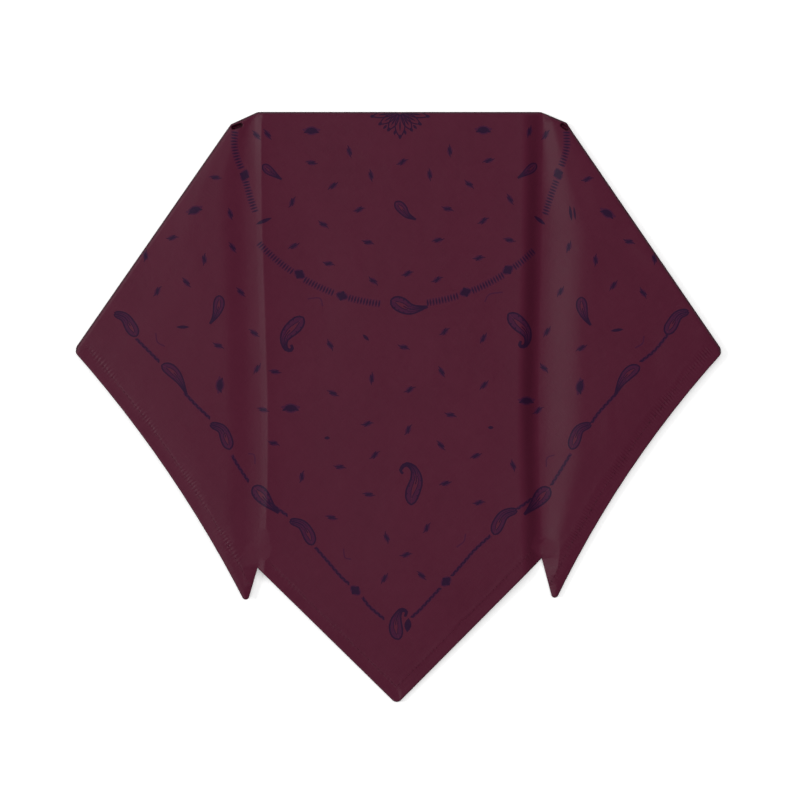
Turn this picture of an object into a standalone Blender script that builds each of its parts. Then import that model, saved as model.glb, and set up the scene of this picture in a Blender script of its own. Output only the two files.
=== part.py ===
"""Bandana: one hemmed square of thin cotton, folded corner to corner and laid flat.

The top fold is at the far side (+Y) and the bottom corner at the near side (-Y). Both side corners are
turned under along a slanting fold, and a soft pleat on each side parts the raised middle from a wing.
Plan sizes are in millimetres from the middle of the top fold, x to the right and y away from the hem.
"""
import math

import bpy
from mathutils import Matrix, Vector
from mathutils.geometry import delaunay_2d_cdt

for old in list(bpy.data.objects):
    bpy.data.objects.remove(old)

MM = 0.001
LEFT, RIGHT = -1, 1

# The cut and its plies.
CLOTH_SIDE = 560.0
BOTTOM_CORNER = CLOTH_SIDE / math.sqrt(2) + 3.0     # the bias of the cloth gives a little
WALL = 1.0
HEM_WALL = 1.8                                      # the edge is turned twice, so three plies
HEM_WIDTH = 9.0
GAP = 0.3

# Outline of the folded cloth, x away from the middle on each side.
OUTLINE = (
    {"point": "fold_end", LEFT: (95.8, 0.0), RIGHT: (94.8, 0.0), "round": 6.0},
    {"point": "shoulder", LEFT: (113.9, -8.3), RIGHT: (112.2, -7.3), "round": 2.0},
    {"point": "shoulder_turn", LEFT: (117.4, -13.2), RIGHT: (115.8, -12.8), "round": 4.0},
    {"point": "outer_corner", LEFT: (219.7, -160.6), RIGHT: (217.6, -161.4), "round": 5.5},
    {"point": "tip", LEFT: (103.2, -332.4), RIGHT: (103.5, -331.6), "round": 2.4},
    {"point": "notch", LEFT: (95.8, -307.0), RIGHT: (95.4, -300.6)},
)
HEM_SAG = {LEFT: 6.7, RIGHT: 7.5}                   # how far a wing's hem hollows inward
BOTTOM_X = -2.2
BOTTOM_ROUND = 4.0
ARC_STEPS = 4
HEM_STEPS = 12                                      # straight runs along each hem and outer fold
FOLD_STEPS = 9

# One pleat on each side: how far beyond its crease its lowest line lies, the fall from the middle
# down to that line, and the wing's ridge beyond it.
PLEATS = {
    LEFT: {"valley": 7.5, "fall": 13.2, "ridge": 19.0},
    RIGHT: {"valley": 0.0, "fall": 14.0, "ridge": 22.0},
}

# How far out from the middle each pleat's crease runs, from the top fold down.
CREASES = (
    {"y": 0.0, LEFT: 97.4, RIGHT: 96.2},
    {"y": -70.0, LEFT: 96.8, RIGHT: 95.6},
    {"y": -145.0, LEFT: 94.4, RIGHT: 93.8},
    {"y": -215.0, LEFT: 92.8, RIGHT: 93.2},
    {"y": -275.0, LEFT: 94.0, RIGHT: 94.8},
    {"y": -335.0, LEFT: 96.6, RIGHT: 95.8},
)

# Height of the front ply's face along sections across the cloth, from the top fold to the corner.
SECTIONS = (
    {"y": 0.0, "middle": 8.8, "crease": 5.4, "ridge": 7.0, "dish": 6.8, "edge": 7.0},
    {"y": -45.0, "middle": 9.4, "crease": 4.6, "ridge": 7.6, "dish": 6.8, "edge": 7.6},
    {"y": -110.0, "middle": 9.6, "crease": 4.3, "ridge": 8.2, "dish": 6.2, "edge": 8.2},
    {"y": -160.0, "middle": 9.6, "crease": 4.2, "ridge": 8.2, "dish": 5.8, "edge": 7.4},
    {"y": -220.0, "middle": 9.4, "crease": 4.2, "ridge": 7.8, "dish": 5.6, "edge": 5.2},
    {"y": -290.0, "middle": 8.8, "crease": 4.2, "ridge": 6.6, "dish": 5.4, "edge": 4.6},
    {"y": -335.0, "middle": 7.0, "crease": 4.2, "ridge": 5.2, "dish": 4.8, "edge": 4.4},
    {"y": -400.0, "middle": 4.6, "crease": 4.2, "ridge": 5.0, "dish": 4.6, "edge": 4.4},
)
DISH_AT = 0.45                                      # share of the way from the ridge to the edge
NARROW_VALLEY = 0.25                                # a narrow wing has its lowest line
NARROW_RIDGE = 0.45                                 # and its ridge these shares of the way out
FOLD_ROLL = 5.0                                     # how far in the round of a fold reaches
FOLD_EDGE_Z = 2.6                                   # height of the face at a fold's outermost line
HEM_DROOP = 24.0                                    # how far in from the hem the cloth starts to sink
HEM_SINK = 0.14                                     # and the share of its height that it loses
SLOPE_STEP = 0.2
LEAST_COSINE = 0.45                                 # limits a ply's upright thickness on a fold

# Under layers: three plies show at the rim, the lower edge is eased, and the turned-under corners
# lie a ply lower than the back half, which sinks to the surface beside them.
RIM = (
    {"share": 0.00, "inset": 0.4}, {"share": 0.10, "inset": 0.0}, {"share": 0.30, "inset": 0.0},
    {"share": 0.34, "inset": 0.6}, {"share": 0.38, "inset": 0.0}, {"share": 0.63, "inset": 0.0},
    {"share": 0.67, "inset": 0.6}, {"share": 0.71, "inset": 0.0}, {"share": 1.00, "inset": 0.0},
)
LEAST_RIM = 1.0                                     # the thinnest that the under layers get at the outline
PLAIN_RIM = ({"share": 0.0, "inset": 0.0}, {"share": 1.0, "inset": 0.0})
FLAP_TIP = (8.0, -252.6)                            # where a turned-under corner ends, short of the middle
FLAP_STEP = 0.8
FLAP_EDGE = 0.4                                     # width of the step at the corner's own edge
FLAP_RAMP = 6.0                                     # width over which the back half sinks beside it

# Sampling of the plan.
STATION_STEP = 20.0
FIRST_STATION = 0.6
MIDDLE_STEP = 30.0
WING_STEP = 22.0
FALL_LINES = (0.3, 0.65, 1.0)                       # shares of a pleat's fall and of its ridge's distance
RIDGE_LINES = (0.25, 0.6, 1.0)
ROLL_SAMPLES = (0.9, 2.6, 5.2)
CLEAR = 1.5                                         # samples keep this far from drawn lines
ROLL_CLEAR = 0.5                                    # and this far where a fold rounds
RUN_ON = 22.0                                       # how far past the outline a hem's line is carried
LONGEST_EDGE = 36.0
SHORTEST_EDGE = 3.0
MOST_BEND = 0.12
LEAST_AREA = 1e-6

MATERIALS = {
    "cloth": {"colour": (0.078, 0.011, 0.024), "roughness": 0.85},
    "hem": {"colour": (0.070, 0.010, 0.021), "roughness": 0.85},
    "under": {"colour": (0.056, 0.008, 0.017), "roughness": 0.9},
}


def smooth(t):
    """0 to 1 with level ends."""
    t = min(max(t, 0.0), 1.0)
    return t * t * (3.0 - 2.0 * t)


def between(low, high, share):
    return low + (high - low) * share


# ---- Paths in plan ----

def rounded(before, corner, after, radius):
    """The arc that rounds a path's corner."""
    to_before = (before - corner).normalized()
    to_after = (after - corner).normalized()
    half = to_before.angle(to_after) / 2.0
    centre = corner + (to_before + to_after).normalized() * (radius / math.sin(half))
    start = corner + to_before * (radius / math.tan(half)) - centre
    end = corner + to_after * (radius / math.tan(half)) - centre
    turn = -start.angle_signed(end)
    arc = []
    for step in range(ARC_STEPS + 1):
        spoke = start.copy()
        spoke.rotate(Matrix.Rotation(turn * step / ARC_STEPS, 2))
        arc.append(centre + spoke)
    return arc


def corner_of(side, name):
    row = next(row for row in OUTLINE if row["point"] == name)
    x, y = row[side]
    return Vector((side * x, y))


def rounding_of(name):
    return next(row for row in OUTLINE if row["point"] == name)["round"]


def divided(start, end, steps, sag=0.0):
    """Points from start to end, bowed to the left of the way by sag at the middle."""
    along = end - start
    left = Vector((-along.y, along.x)).normalized()
    return [start + along * (k / steps) + left * (4.0 * sag * (k / steps) * (1.0 - k / steps))
            for k in range(steps + 1)]


def side_paths(side):
    """A side's fold, from the top fold's middle to the outer corner, and its hem down to the tip."""
    middle = Vector((0.0, 0.0))
    end, shoulder, turn, corner, tip, notch = (corner_of(side, row["point"]) for row in OUTLINE)
    hem = divided(corner, tip, HEM_STEPS, -side * HEM_SAG[side])
    corner_arc = rounded(turn, corner, hem[1], rounding_of("outer_corner"))
    tip_arc = rounded(hem[-2], tip, notch, rounding_of("tip"))
    half_arc = ARC_STEPS // 2
    fold = ([middle] + rounded(middle, end, shoulder, rounding_of("fold_end"))
            + rounded(end, shoulder, turn, rounding_of("shoulder"))
            + rounded(shoulder, turn, corner, rounding_of("shoulder_turn")))
    fold += divided(fold[-1], corner_arc[0], FOLD_STEPS)[1:] + corner_arc[1:half_arc + 1]
    hem = corner_arc[half_arc:] + hem[1:-1] + tip_arc
    return fold, hem


def bottom_path():
    """The middle's hem, from the left notch round the bottom corner to the right notch."""
    left, right = corner_of(LEFT, "notch"), corner_of(RIGHT, "notch")
    corner = Vector((BOTTOM_X, -BOTTOM_CORNER))
    arc = rounded(left, corner, right, BOTTOM_ROUND)
    return divided(left, arc[0], HEM_STEPS - 2)[:-1] + arc + divided(arc[-1], right, HEM_STEPS - 2)[1:]


FOLDS, HEMS = {}, {}
for each_side in (LEFT, RIGHT):
    FOLDS[each_side], HEMS[each_side] = side_paths(each_side)
BOTTOM = bottom_path()
FOLD_LINE = FOLDS[LEFT][:0:-1] + FOLDS[RIGHT]
CUT_OUTLINE = FOLDS[LEFT] + HEMS[LEFT][1:] + BOTTOM + HEMS[RIGHT][:0:-1] + FOLDS[RIGHT][:0:-1]


def distance_to(path, point):
    """Least distance from a point to a path."""
    least = math.inf
    for start, end in zip(path, path[1:]):
        along = end - start
        share = (point - start).dot(along) / along.length_squared
        near = start + along * min(max(share, 0.0), 1.0)
        least = min(least, (point - near).length)
    return least


def wing_reach(side, y):
    """How far out from the middle the wing's edge lies at y."""
    edge = FOLDS[side] + HEMS[side][1:]
    for start, end in zip(edge, edge[1:]):
        if end.y <= y <= start.y and end.y < start.y:
            return abs(between(start.x, end.x, (start.y - y) / (start.y - end.y)))
    return abs(edge[-1].x if y < edge[-1].y else edge[1].x)


# ---- Heights ----

def curved(before, start, end, after, share):
    """A value on a smooth curve from start to end that comes in from before and heads on to after."""
    start_slope, end_slope = (end - before) / 2.0, (after - start) / 2.0
    bend = 3.0 * (end - start) - 2.0 * start_slope - end_slope
    twist = 2.0 * (start - end) + start_slope + end_slope
    return start + share * (start_slope + share * (bend + share * twist))


def row_at(table, y):
    """A table's row at y, on smooth curves through the rows that it has."""
    last = len(table) - 1
    y = min(max(y, table[last]["y"]), table[0]["y"])
    k = next(k for k in range(last) if y >= table[k + 1]["y"])
    share = (table[k]["y"] - y) / (table[k]["y"] - table[k + 1]["y"])
    rows = [table[min(max(k + step, 0), last)] for step in (-1, 0, 1, 2)]
    return {name: curved(*(row[name] for row in rows), share) for name in rows[0]}


def crease_at(side, y):
    """How far out a side's crease runs at y."""
    return row_at(CREASES, y)[side]


def front_height(x, y):
    """Height of the front ply's upper face."""
    side = LEFT if x < 0.0 else RIGHT
    pleat = PLEATS[side]
    section = row_at(SECTIONS, y)
    crease = crease_at(side, y)
    width = max(wing_reach(side, y) - crease, 1.0)
    valley = min(pleat["valley"], NARROW_VALLEY * width)
    outward = abs(x) - crease - valley
    if outward < 0.0:
        z = between(section["crease"], section["middle"], smooth(-outward / pleat["fall"]))
    else:
        reach = width - valley
        ridge_at = min(pleat["ridge"], NARROW_RIDGE * reach)
        z = between(section["crease"], section["ridge"], smooth(outward / ridge_at))
        share = (outward - ridge_at) / (reach - ridge_at)
        z += (section["dish"] - section["ridge"]) * smooth(share / DISH_AT)
        z += (section["edge"] - section["dish"]) * smooth((share - DISH_AT) / (1.0 - DISH_AT))
    point = Vector((x, y))
    from_hem = min(distance_to(line, point) for line in (BOTTOM, HEMS[LEFT], HEMS[RIGHT]))
    z -= (z - FOLD_EDGE_Z) * HEM_SINK * (1.0 - smooth(from_hem / HEM_DROOP))
    inward = min(distance_to(FOLD_LINE, point) / FOLD_ROLL, 1.0)
    return between(FOLD_EDGE_Z, z, math.sqrt(1.0 - (1.0 - inward) ** 2))


def upright(x, y, thickness):
    """A ply's thickness measured upright, where its face slopes."""
    rise_x = (front_height(x + SLOPE_STEP, y) - front_height(x - SLOPE_STEP, y)) / (2.0 * SLOPE_STEP)
    rise_y = (front_height(x, y + SLOPE_STEP) - front_height(x, y - SLOPE_STEP)) / (2.0 * SLOPE_STEP)
    cosine = 1.0 / math.sqrt(1.0 + rise_x * rise_x + rise_y * rise_y)
    return thickness / max(cosine, LEAST_COSINE)


def flap_of(side):
    """Plan of a turned-under corner: its fold, then the two edges that meet at its tip."""
    tip = Vector((side * FLAP_TIP[0], FLAP_TIP[1]))
    return FOLDS[side][1:] + [tip, FOLDS[side][1]]


FLAPS = {each_side: flap_of(each_side) for each_side in (LEFT, RIGHT)}


def inside(loop, point):
    """Whether a point lies within a closed loop."""
    crossings = 0
    for start, end in zip(loop, loop[1:]):
        if (start.y > point.y) != (end.y > point.y):
            x = between(start.x, end.x, (point.y - start.y) / (end.y - start.y))
            crossings += x > point.x
    return crossings % 2 == 1


def under_floor(x, y):
    """Height of the under layers' lower face: nothing under the turned corners and away from them."""
    point = Vector((x, y))
    away = min(0.0 if inside(flap, point) else distance_to(flap, point) for flap in FLAPS.values())
    from_fold = distance_to(FOLD_LINE, point)
    step = smooth(away / FLAP_EDGE) * (1.0 - smooth((away - FLAP_EDGE) / FLAP_RAMP))
    return FLAP_STEP * step * smooth(from_fold / FLAP_RAMP)


# ---- Plan: one triangulation shared by every ply, so that they part evenly ----

def run_on(path, by):
    """A path with both ends carried straight on."""
    first = path[0] + (path[0] - path[1]).normalized() * by
    last = path[-1] + (path[-1] - path[-2]).normalized() * by
    return [first, *path, last]


def moved(path, distance):
    """A path moved to the left of its way."""
    points = []
    for index, point in enumerate(path):
        along = path[min(index + 1, len(path) - 1)] - path[max(index - 1, 0)]
        points.append(point + Vector((-along.y, along.x)).normalized() * distance)
    return points


def wing_hem_run(side):
    """A wing's hem with its ends left sharp and run on, downward."""
    sag = -side * HEM_SAG[side]
    hem = divided(corner_of(side, "outer_corner"), corner_of(side, "tip"), HEM_STEPS, sag)
    return run_on(hem, RUN_ON)


def bottom_hem_run(side):
    """A side of the middle's hem, from beyond the notch to the bottom corner."""
    notch = corner_of(side, "notch")
    return [notch + (notch - BOTTOM_POINT).normalized() * RUN_ON, BOTTOM_POINT]


def mitre(inset):
    """Where the two sides of the bottom hem meet when each is moved in."""
    to_left = (corner_of(LEFT, "notch") - BOTTOM_POINT).normalized()
    to_right = (corner_of(RIGHT, "notch") - BOTTOM_POINT).normalized()
    half = to_left.angle(to_right) / 2.0
    return BOTTOM_POINT + (to_left + to_right).normalized() * (inset / math.sin(half))


BOTTOM_POINT = Vector((BOTTOM_X, -BOTTOM_CORNER))
WING_HEM_RUNS = {each_side: wing_hem_run(each_side) for each_side in (LEFT, RIGHT)}
BOTTOM_HEM_RUNS = {each_side: bottom_hem_run(each_side) for each_side in (LEFT, RIGHT)}
MITRE_LINE = [BOTTOM_POINT, mitre(HEM_WIDTH)]
SIDE_NAMES = {LEFT: "left", RIGHT: "right"}


def followed(start, end):
    """Points on the way to end, closer together where the cloth's face bends along it."""
    length = (end - start).length
    first, last = front_height(*start), front_height(*end)
    bend = max(abs(front_height(*start.lerp(end, share)) - between(first, last, share))
               for share in (0.25, 0.5, 0.75))
    if length > LONGEST_EDGE or (bend > MOST_BEND and length > SHORTEST_EDGE):
        middle = start.lerp(end, 0.5)
        return followed(start, middle) + followed(middle, end)
    return [end]


def beside_crease(side, out, foot):
    """A line down the cloth that keeps one distance outward from a side's crease."""
    stations = [GAP, *(-STATION_STEP * (k + FIRST_STATION) for k in range(int(-foot // STATION_STEP))), foot]
    return [Vector((side * (crease_at(side, y) + out), y)) for y in stations]


def below_fold(side, line):
    """The part of a line down a wing that lies clear of its fold's round."""
    rounded_in = [k for k, point in enumerate(line) if distance_to(FOLDS[side], point) < FOLD_ROLL]
    return line[max(rounded_in, default=-1) + 1:]


def drawn_lines():
    """Every line that the plan's triangles must follow."""
    lines = [moved(run_on(MITRE_LINE, GAP), shift) for shift in (-GAP / 2.0, GAP / 2.0)]
    for side in (LEFT, RIGHT):
        pleat = PLEATS[side]
        foot = corner_of(side, "notch").y - HEM_WIDTH
        lines += [beside_crease(side, shift, foot) for shift in (-GAP / 2.0, GAP / 2.0)]
        for inset in (HEM_WIDTH, HEM_WIDTH + GAP):
            lines.append(moved(WING_HEM_RUNS[side], -side * inset))
            lines.append([moved(BOTTOM_HEM_RUNS[side], -side * inset)[0], mitre(inset)])
        for share in FALL_LINES:
            lines.append(beside_crease(side, pleat["valley"] - pleat["fall"] * share, -BOTTOM_CORNER))
        for share in RIDGE_LINES:
            line = beside_crease(side, pleat["valley"] + pleat["ridge"] * share, -BOTTOM_CORNER)
            lines.append(below_fold(side, line))
        flap_edges = FLAPS[side][-3:]
        lines += [flap_edges, moved(flap_edges, side * FLAP_EDGE)]
    return [line[:1] + [point for start, end in zip(line, line[1:]) for point in followed(start, end)]
            for line in lines]


def piece_at(point):
    """The sub-part that the front ply belongs to at a point of the plan, or nothing in a gap."""
    side = LEFT if point.x < 0.0 else RIGHT
    beyond = abs(point.x) - crease_at(side, point.y)
    if abs(beyond) < GAP / 2.0:
        return None
    if beyond > 0.0:
        from_hem = distance_to(WING_HEM_RUNS[side], point)
        panel, hem = SIDE_NAMES[side] + "_wing", SIDE_NAMES[side] + "_wing_hem"
    else:
        from_hems = {each: distance_to(BOTTOM_HEM_RUNS[each], point) for each in (LEFT, RIGHT)}
        nearer = min(from_hems, key=from_hems.get)
        from_hem = from_hems[nearer]
        panel, hem = "middle_panel", SIDE_NAMES[nearer] + "_bottom_hem"
        if from_hem < HEM_WIDTH and distance_to(run_on(MITRE_LINE, GAP), point) < GAP / 2.0:
            return None
    if from_hem < HEM_WIDTH:
        return hem
    return panel if from_hem > HEM_WIDTH + GAP else None


def section_columns(y):
    """Where a section across the cloth is sampled."""
    columns = []
    for side in (LEFT, RIGHT):
        crease = crease_at(side, y)
        edge = crease + PLEATS[side]["valley"] - PLEATS[side]["fall"]
        count = int(edge // MIDDLE_STEP)
        columns += [side * edge * (k + 0.5) / (count + 1) for k in range(count + 1)]
        start = crease + PLEATS[side]["valley"] + PLEATS[side]["ridge"]
        reach = wing_reach(side, y) - FOLD_ROLL - start
        count = max(int(reach // WING_STEP), 0)
        columns += [side * (start + reach * (k + 1.0) / (count + 1)) for k in range(count)]
    return columns


def samples(lines):
    """Points inside the outline, on sections and just inside the folds, clear of the drawn lines."""
    wanted = []
    for inset in ROLL_SAMPLES:
        wanted += moved(FOLD_LINE, -inset)
        wanted += [Vector((x, -inset)) for x in section_columns(0.0) if abs(x) < CREASES[0][LEFT]]
    for k in range(int(BOTTOM_CORNER // STATION_STEP)):
        y = -STATION_STEP * (k + FIRST_STATION)
        wanted += [Vector((x, y)) for x in section_columns(y)]
    outline = CUT_OUTLINE + CUT_OUTLINE[:1]
    kept = []
    for point in wanted:
        clear = ROLL_CLEAR if distance_to(FOLD_LINE, point) < FOLD_ROLL + ROLL_CLEAR else CLEAR
        if not inside(outline, point) or any(distance_to(line, point) < clear for line in (outline, *lines)):
            continue
        if all((point - other).length > clear for other in kept):
            kept.append(point)
    return kept


def triangulated_plan():
    """Points and upward triangles of the folded cloth's plan."""
    lines = drawn_lines()
    points = list(CUT_OUTLINE)
    edges = []
    for line in lines:
        first = len(points)
        points += line
        edges += [(first + k, first + k + 1) for k in range(len(line) - 1)]
    points += samples(lines)
    outline_face = list(range(len(CUT_OUTLINE)))
    plan, _, faces, _, _, sources = delaunay_2d_cdt(points, edges, [outline_face], 0, 1e-3)
    triangles = []
    for face, source in zip(faces, sources):
        a, b, c = (plan[index] for index in face)
        if source and abs((b - a).cross(c - a)) > LEAST_AREA:
            triangles.append(face if (b - a).cross(c - a) > 0.0 else face[::-1])
    return plan, triangles


# ---- Solids ----

def rim_edges(triangles):
    """The outer edges of a set of triangles, each in its triangle's own direction."""
    ways = {(face[k], face[(k + 1) % 3]) for face in triangles for k in range(3)}
    return [(a, b) for a, b in ways if (b, a) not in ways]


def inward_ways(plan, edges):
    """The way in from the rim at each of its points."""
    ways = {}
    for a, b in edges:
        along = (plan[b] - plan[a]).normalized()
        for index in (a, b):
            ways[index] = ways.get(index, Vector((0.0, 0.0))) + Vector((-along.y, along.x))
    return {index: way.normalized() for index, way in ways.items()}


def build_piece(name, plan, triangles, upper, lower, rim, material):
    """One closed solid between two heights, its rim drawn by shares of the height and insets."""
    used = sorted({index for face in triangles for index in face})
    edges = rim_edges(triangles)
    ways = inward_ways(plan, edges)
    vertices, on_top, on_floor, rings = [], {}, {}, {}

    def place(index, height, inset=0.0):
        x, y = plan[index] + ways.get(index, Vector((0.0, 0.0))) * inset - ORIGIN
        vertices.append((x * MM, y * MM, height * MM))
        return len(vertices) - 1

    for index in used:
        low, high = lower[index], upper[index]
        if index in ways:
            rings[index] = [place(index, between(low, high, row["share"]), row["inset"]) for row in rim]
            on_floor[index], on_top[index] = rings[index][0], rings[index][-1]
        else:
            on_floor[index], on_top[index] = place(index, low), place(index, high)
    faces = [[on_top[index] for index in face] for face in triangles]
    faces += [[on_floor[index] for index in reversed(face)] for face in triangles]
    for a, b in edges:
        for level in range(len(rim) - 1):
            faces.append([rings[a][level], rings[b][level], rings[b][level + 1], rings[a][level + 1]])
    mesh = bpy.data.meshes.new(name)
    mesh.from_pydata(vertices, [], faces)
    mesh.shade_smooth()
    mesh.set_sharp_from_angle(angle=math.radians(40.0))
    mesh.materials.append(material)
    bpy.context.scene.collection.objects.link(bpy.data.objects.new(name, mesh))


def finish(name):
    """A matt cotton finish."""
    material = bpy.data.materials.new(name)
    material.use_nodes = True
    shader = material.node_tree.nodes["Principled BSDF"]
    shader.inputs["Base Color"].default_value = (*MATERIALS[name]["colour"], 1.0)
    shader.inputs["Roughness"].default_value = MATERIALS[name]["roughness"]
    shader.inputs["Metallic"].default_value = 0.0
    return material


def build():
    finishes = {name: finish(name) for name in MATERIALS}
    plan, triangles = triangulated_plan()
    pieces = {}
    for face in triangles:
        name = piece_at(sum((plan[index] for index in face), Vector((0.0, 0.0))) / 3.0)
        pieces.setdefault(name, []).append(face)
    pieces.pop(None)
    hem_faces = [face for name, faces in pieces.items() if name.endswith("hem") for face in faces]
    in_hem = {index for face in hem_faces for index in face}
    top, underside, under_top, floor = {}, {}, {}, {}
    for index in {index for face in triangles for index in face}:
        x, y = plan[index]
        top[index] = front_height(x, y)
        wall = upright(x, y, HEM_WALL if index in in_hem else WALL)
        underside[index] = max(top[index] - wall, LEAST_RIM + GAP)
        under_top[index] = underside[index] - GAP
        floor[index] = under_floor(x, y)
    for name, faces in sorted(pieces.items()):
        material = finishes["hem" if name.endswith("hem") else "cloth"]
        build_piece(name, plan, faces, top, underside, PLAIN_RIM, material)
    build_piece("under_layers", plan, triangles, under_top, floor, RIM, finishes["under"])


xs, ys = [point.x for point in CUT_OUTLINE], [point.y for point in CUT_OUTLINE]
ORIGIN = Vector(((min(xs) + max(xs)) / 2.0, (min(ys) + max(ys)) / 2.0))
build()
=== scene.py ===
import itertools
import math

import bpy
import numpy as np
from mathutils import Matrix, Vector, noise
from mathutils.geometry import delaunay_2d_cdt


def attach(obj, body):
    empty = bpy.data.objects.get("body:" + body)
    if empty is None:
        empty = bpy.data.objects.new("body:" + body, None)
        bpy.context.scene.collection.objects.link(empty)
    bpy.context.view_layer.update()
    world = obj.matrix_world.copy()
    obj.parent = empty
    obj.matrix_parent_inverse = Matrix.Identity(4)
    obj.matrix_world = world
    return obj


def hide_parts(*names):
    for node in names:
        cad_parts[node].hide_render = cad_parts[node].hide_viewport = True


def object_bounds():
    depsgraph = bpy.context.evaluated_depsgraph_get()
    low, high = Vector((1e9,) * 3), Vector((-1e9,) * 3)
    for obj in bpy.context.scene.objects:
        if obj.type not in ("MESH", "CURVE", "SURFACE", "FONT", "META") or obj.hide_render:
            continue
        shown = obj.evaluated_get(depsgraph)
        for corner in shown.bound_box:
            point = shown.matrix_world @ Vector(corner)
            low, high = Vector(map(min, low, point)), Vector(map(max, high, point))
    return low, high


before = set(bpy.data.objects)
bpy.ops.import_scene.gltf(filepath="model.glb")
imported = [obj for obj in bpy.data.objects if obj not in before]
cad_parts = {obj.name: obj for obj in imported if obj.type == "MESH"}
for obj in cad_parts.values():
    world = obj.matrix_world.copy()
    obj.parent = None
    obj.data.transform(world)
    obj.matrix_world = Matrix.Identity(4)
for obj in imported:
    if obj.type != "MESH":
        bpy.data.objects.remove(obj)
cad_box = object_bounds()

# Plan sizes are in millimetres from the middle of the top fold: x to the right, y away from the hem.
MM = 0.001
LEFT, RIGHT = -1, 1
SIDES = {"left": LEFT, "right": RIGHT}

# ---- Sizes of the folded cloth ----

CLOTH_SIDE = 560.0
BOTTOM_CORNER = CLOTH_SIDE / math.sqrt(2) + 3.0
HEM_WIDTH = 9.0
HEM_WALL = 1.8

OUTLINE = (
    {"point": "fold_end", LEFT: (95.8, 0.0), RIGHT: (94.8, 0.0), "round": 6.0},
    {"point": "shoulder", LEFT: (113.9, -8.3), RIGHT: (112.2, -7.3), "round": 2.0},
    {"point": "shoulder_turn", LEFT: (117.4, -13.2), RIGHT: (115.8, -12.8), "round": 4.0},
    {"point": "outer_corner", LEFT: (219.7, -160.6), RIGHT: (217.6, -161.4), "round": 5.5},
    {"point": "tip", LEFT: (103.2, -332.4), RIGHT: (103.5, -331.6), "round": 2.4},
    {"point": "notch", LEFT: (95.8, -307.0), RIGHT: (95.4, -300.6)},
)
HEM_SAG = {LEFT: 6.7, RIGHT: 7.5}
BOTTOM_X = -2.2
BOTTOM_ROUND = 4.0
ARC_STEPS = 8
HEM_STEPS = 12

# How far the middle falls to each pleat's lowest line, on what curve, with what lip, and where the wing's
# ridge is.
PLEATS = {
    LEFT: {"valley": 6.6, "fall": 10.6, "ease": 2.5, "lip": 1.3, "ridge": 17.0},
    RIGHT: {"valley": 0.0, "fall": 13.0, "ease": None, "lip": 0.5, "ridge": 30.0},
}
LIP_FADE = 12.0
CREASES = (
    {"y": 0.0, LEFT: 97.4, RIGHT: 96.2},
    {"y": -70.0, LEFT: 96.8, RIGHT: 95.6},
    {"y": -145.0, LEFT: 94.4, RIGHT: 93.8},
    {"y": -215.0, LEFT: 92.8, RIGHT: 93.2},
    {"y": -275.0, LEFT: 94.0, RIGHT: 94.8},
    {"y": -335.0, LEFT: 96.6, RIGHT: 95.8},
)
SECTIONS = {
    LEFT: (
        {"y": 0.0, "middle": 8.0, "valley": 7.2, "ridge": 8.0, "dish": 7.8, "edge": 7.4},
        {"y": -45.0, "middle": 8.5, "valley": 8.8, "ridge": 10.5, "dish": 10.3, "edge": 9.6},
        {"y": -110.0, "middle": 8.5, "valley": 8.85, "ridge": 10.8, "dish": 10.6, "edge": 10.2},
        {"y": -160.0, "middle": 8.5, "valley": 8.85, "ridge": 10.7, "dish": 10.5, "edge": 10.0},
        {"y": -220.0, "middle": 8.4, "valley": 8.75, "ridge": 10.2, "dish": 10.3, "edge": 9.8},
        {"y": -290.0, "middle": 8.0, "valley": 8.3, "ridge": 9.0, "dish": 8.8, "edge": 8.0},
        {"y": -312.0, "middle": 7.7, "valley": 7.6, "ridge": 7.6, "dish": 7.6, "edge": 7.2},
        {"y": -335.0, "middle": 6.8, "valley": 6.6, "ridge": 6.6, "dish": 6.5, "edge": 6.2},
        {"y": -400.0, "middle": 4.6, "valley": 4.2, "ridge": 5.0, "dish": 4.6, "edge": 4.4},
    ),
    RIGHT: (
        {"y": 0.0, "middle": 8.0, "valley": 4.7, "ridge": 7.0, "dish": 6.9, "edge": 6.8},
        {"y": -45.0, "middle": 8.5, "valley": 3.8, "ridge": 7.5, "dish": 7.6, "edge": 7.1},
        {"y": -110.0, "middle": 8.5, "valley": 3.2, "ridge": 8.2, "dish": 8.2, "edge": 7.9},
        {"y": -160.0, "middle": 8.5, "valley": 3.1, "ridge": 7.9, "dish": 8.0, "edge": 7.5},
        {"y": -220.0, "middle": 8.4, "valley": 3.1, "ridge": 7.7, "dish": 7.6, "edge": 6.6},
        {"y": -290.0, "middle": 8.0, "valley": 3.3, "ridge": 6.0, "dish": 6.0, "edge": 5.4},
        {"y": -312.0, "middle": 7.7, "valley": 3.6, "ridge": 5.5, "dish": 5.4, "edge": 4.8},
        {"y": -335.0, "middle": 6.8, "valley": 3.8, "ridge": 5.2, "dish": 4.9, "edge": 4.4},
        {"y": -400.0, "middle": 4.6, "valley": 4.2, "ridge": 5.0, "dish": 4.6, "edge": 4.4},
    ),
}
DISH_AT = 0.45
NARROW_VALLEY = 0.25
NARROW_RIDGE = 0.45
FOLD_ROLL = 3.2
FOLD_EDGE_Z = 2.6
HEM_DROOP = 24.0
HEM_SINK = 0.05
FLAP_TIP = (8.0, -252.6)


def smooth(t):
    """0 to 1 with level ends."""
    t = np.clip(t, 0.0, 1.0)
    return t * t * (3.0 - 2.0 * t)


def between(low, high, share):
    return low + (high - low) * share


# ---- Paths in plan, as arrays of points ----

def unit(vector):
    return vector / np.hypot(*vector)


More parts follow.
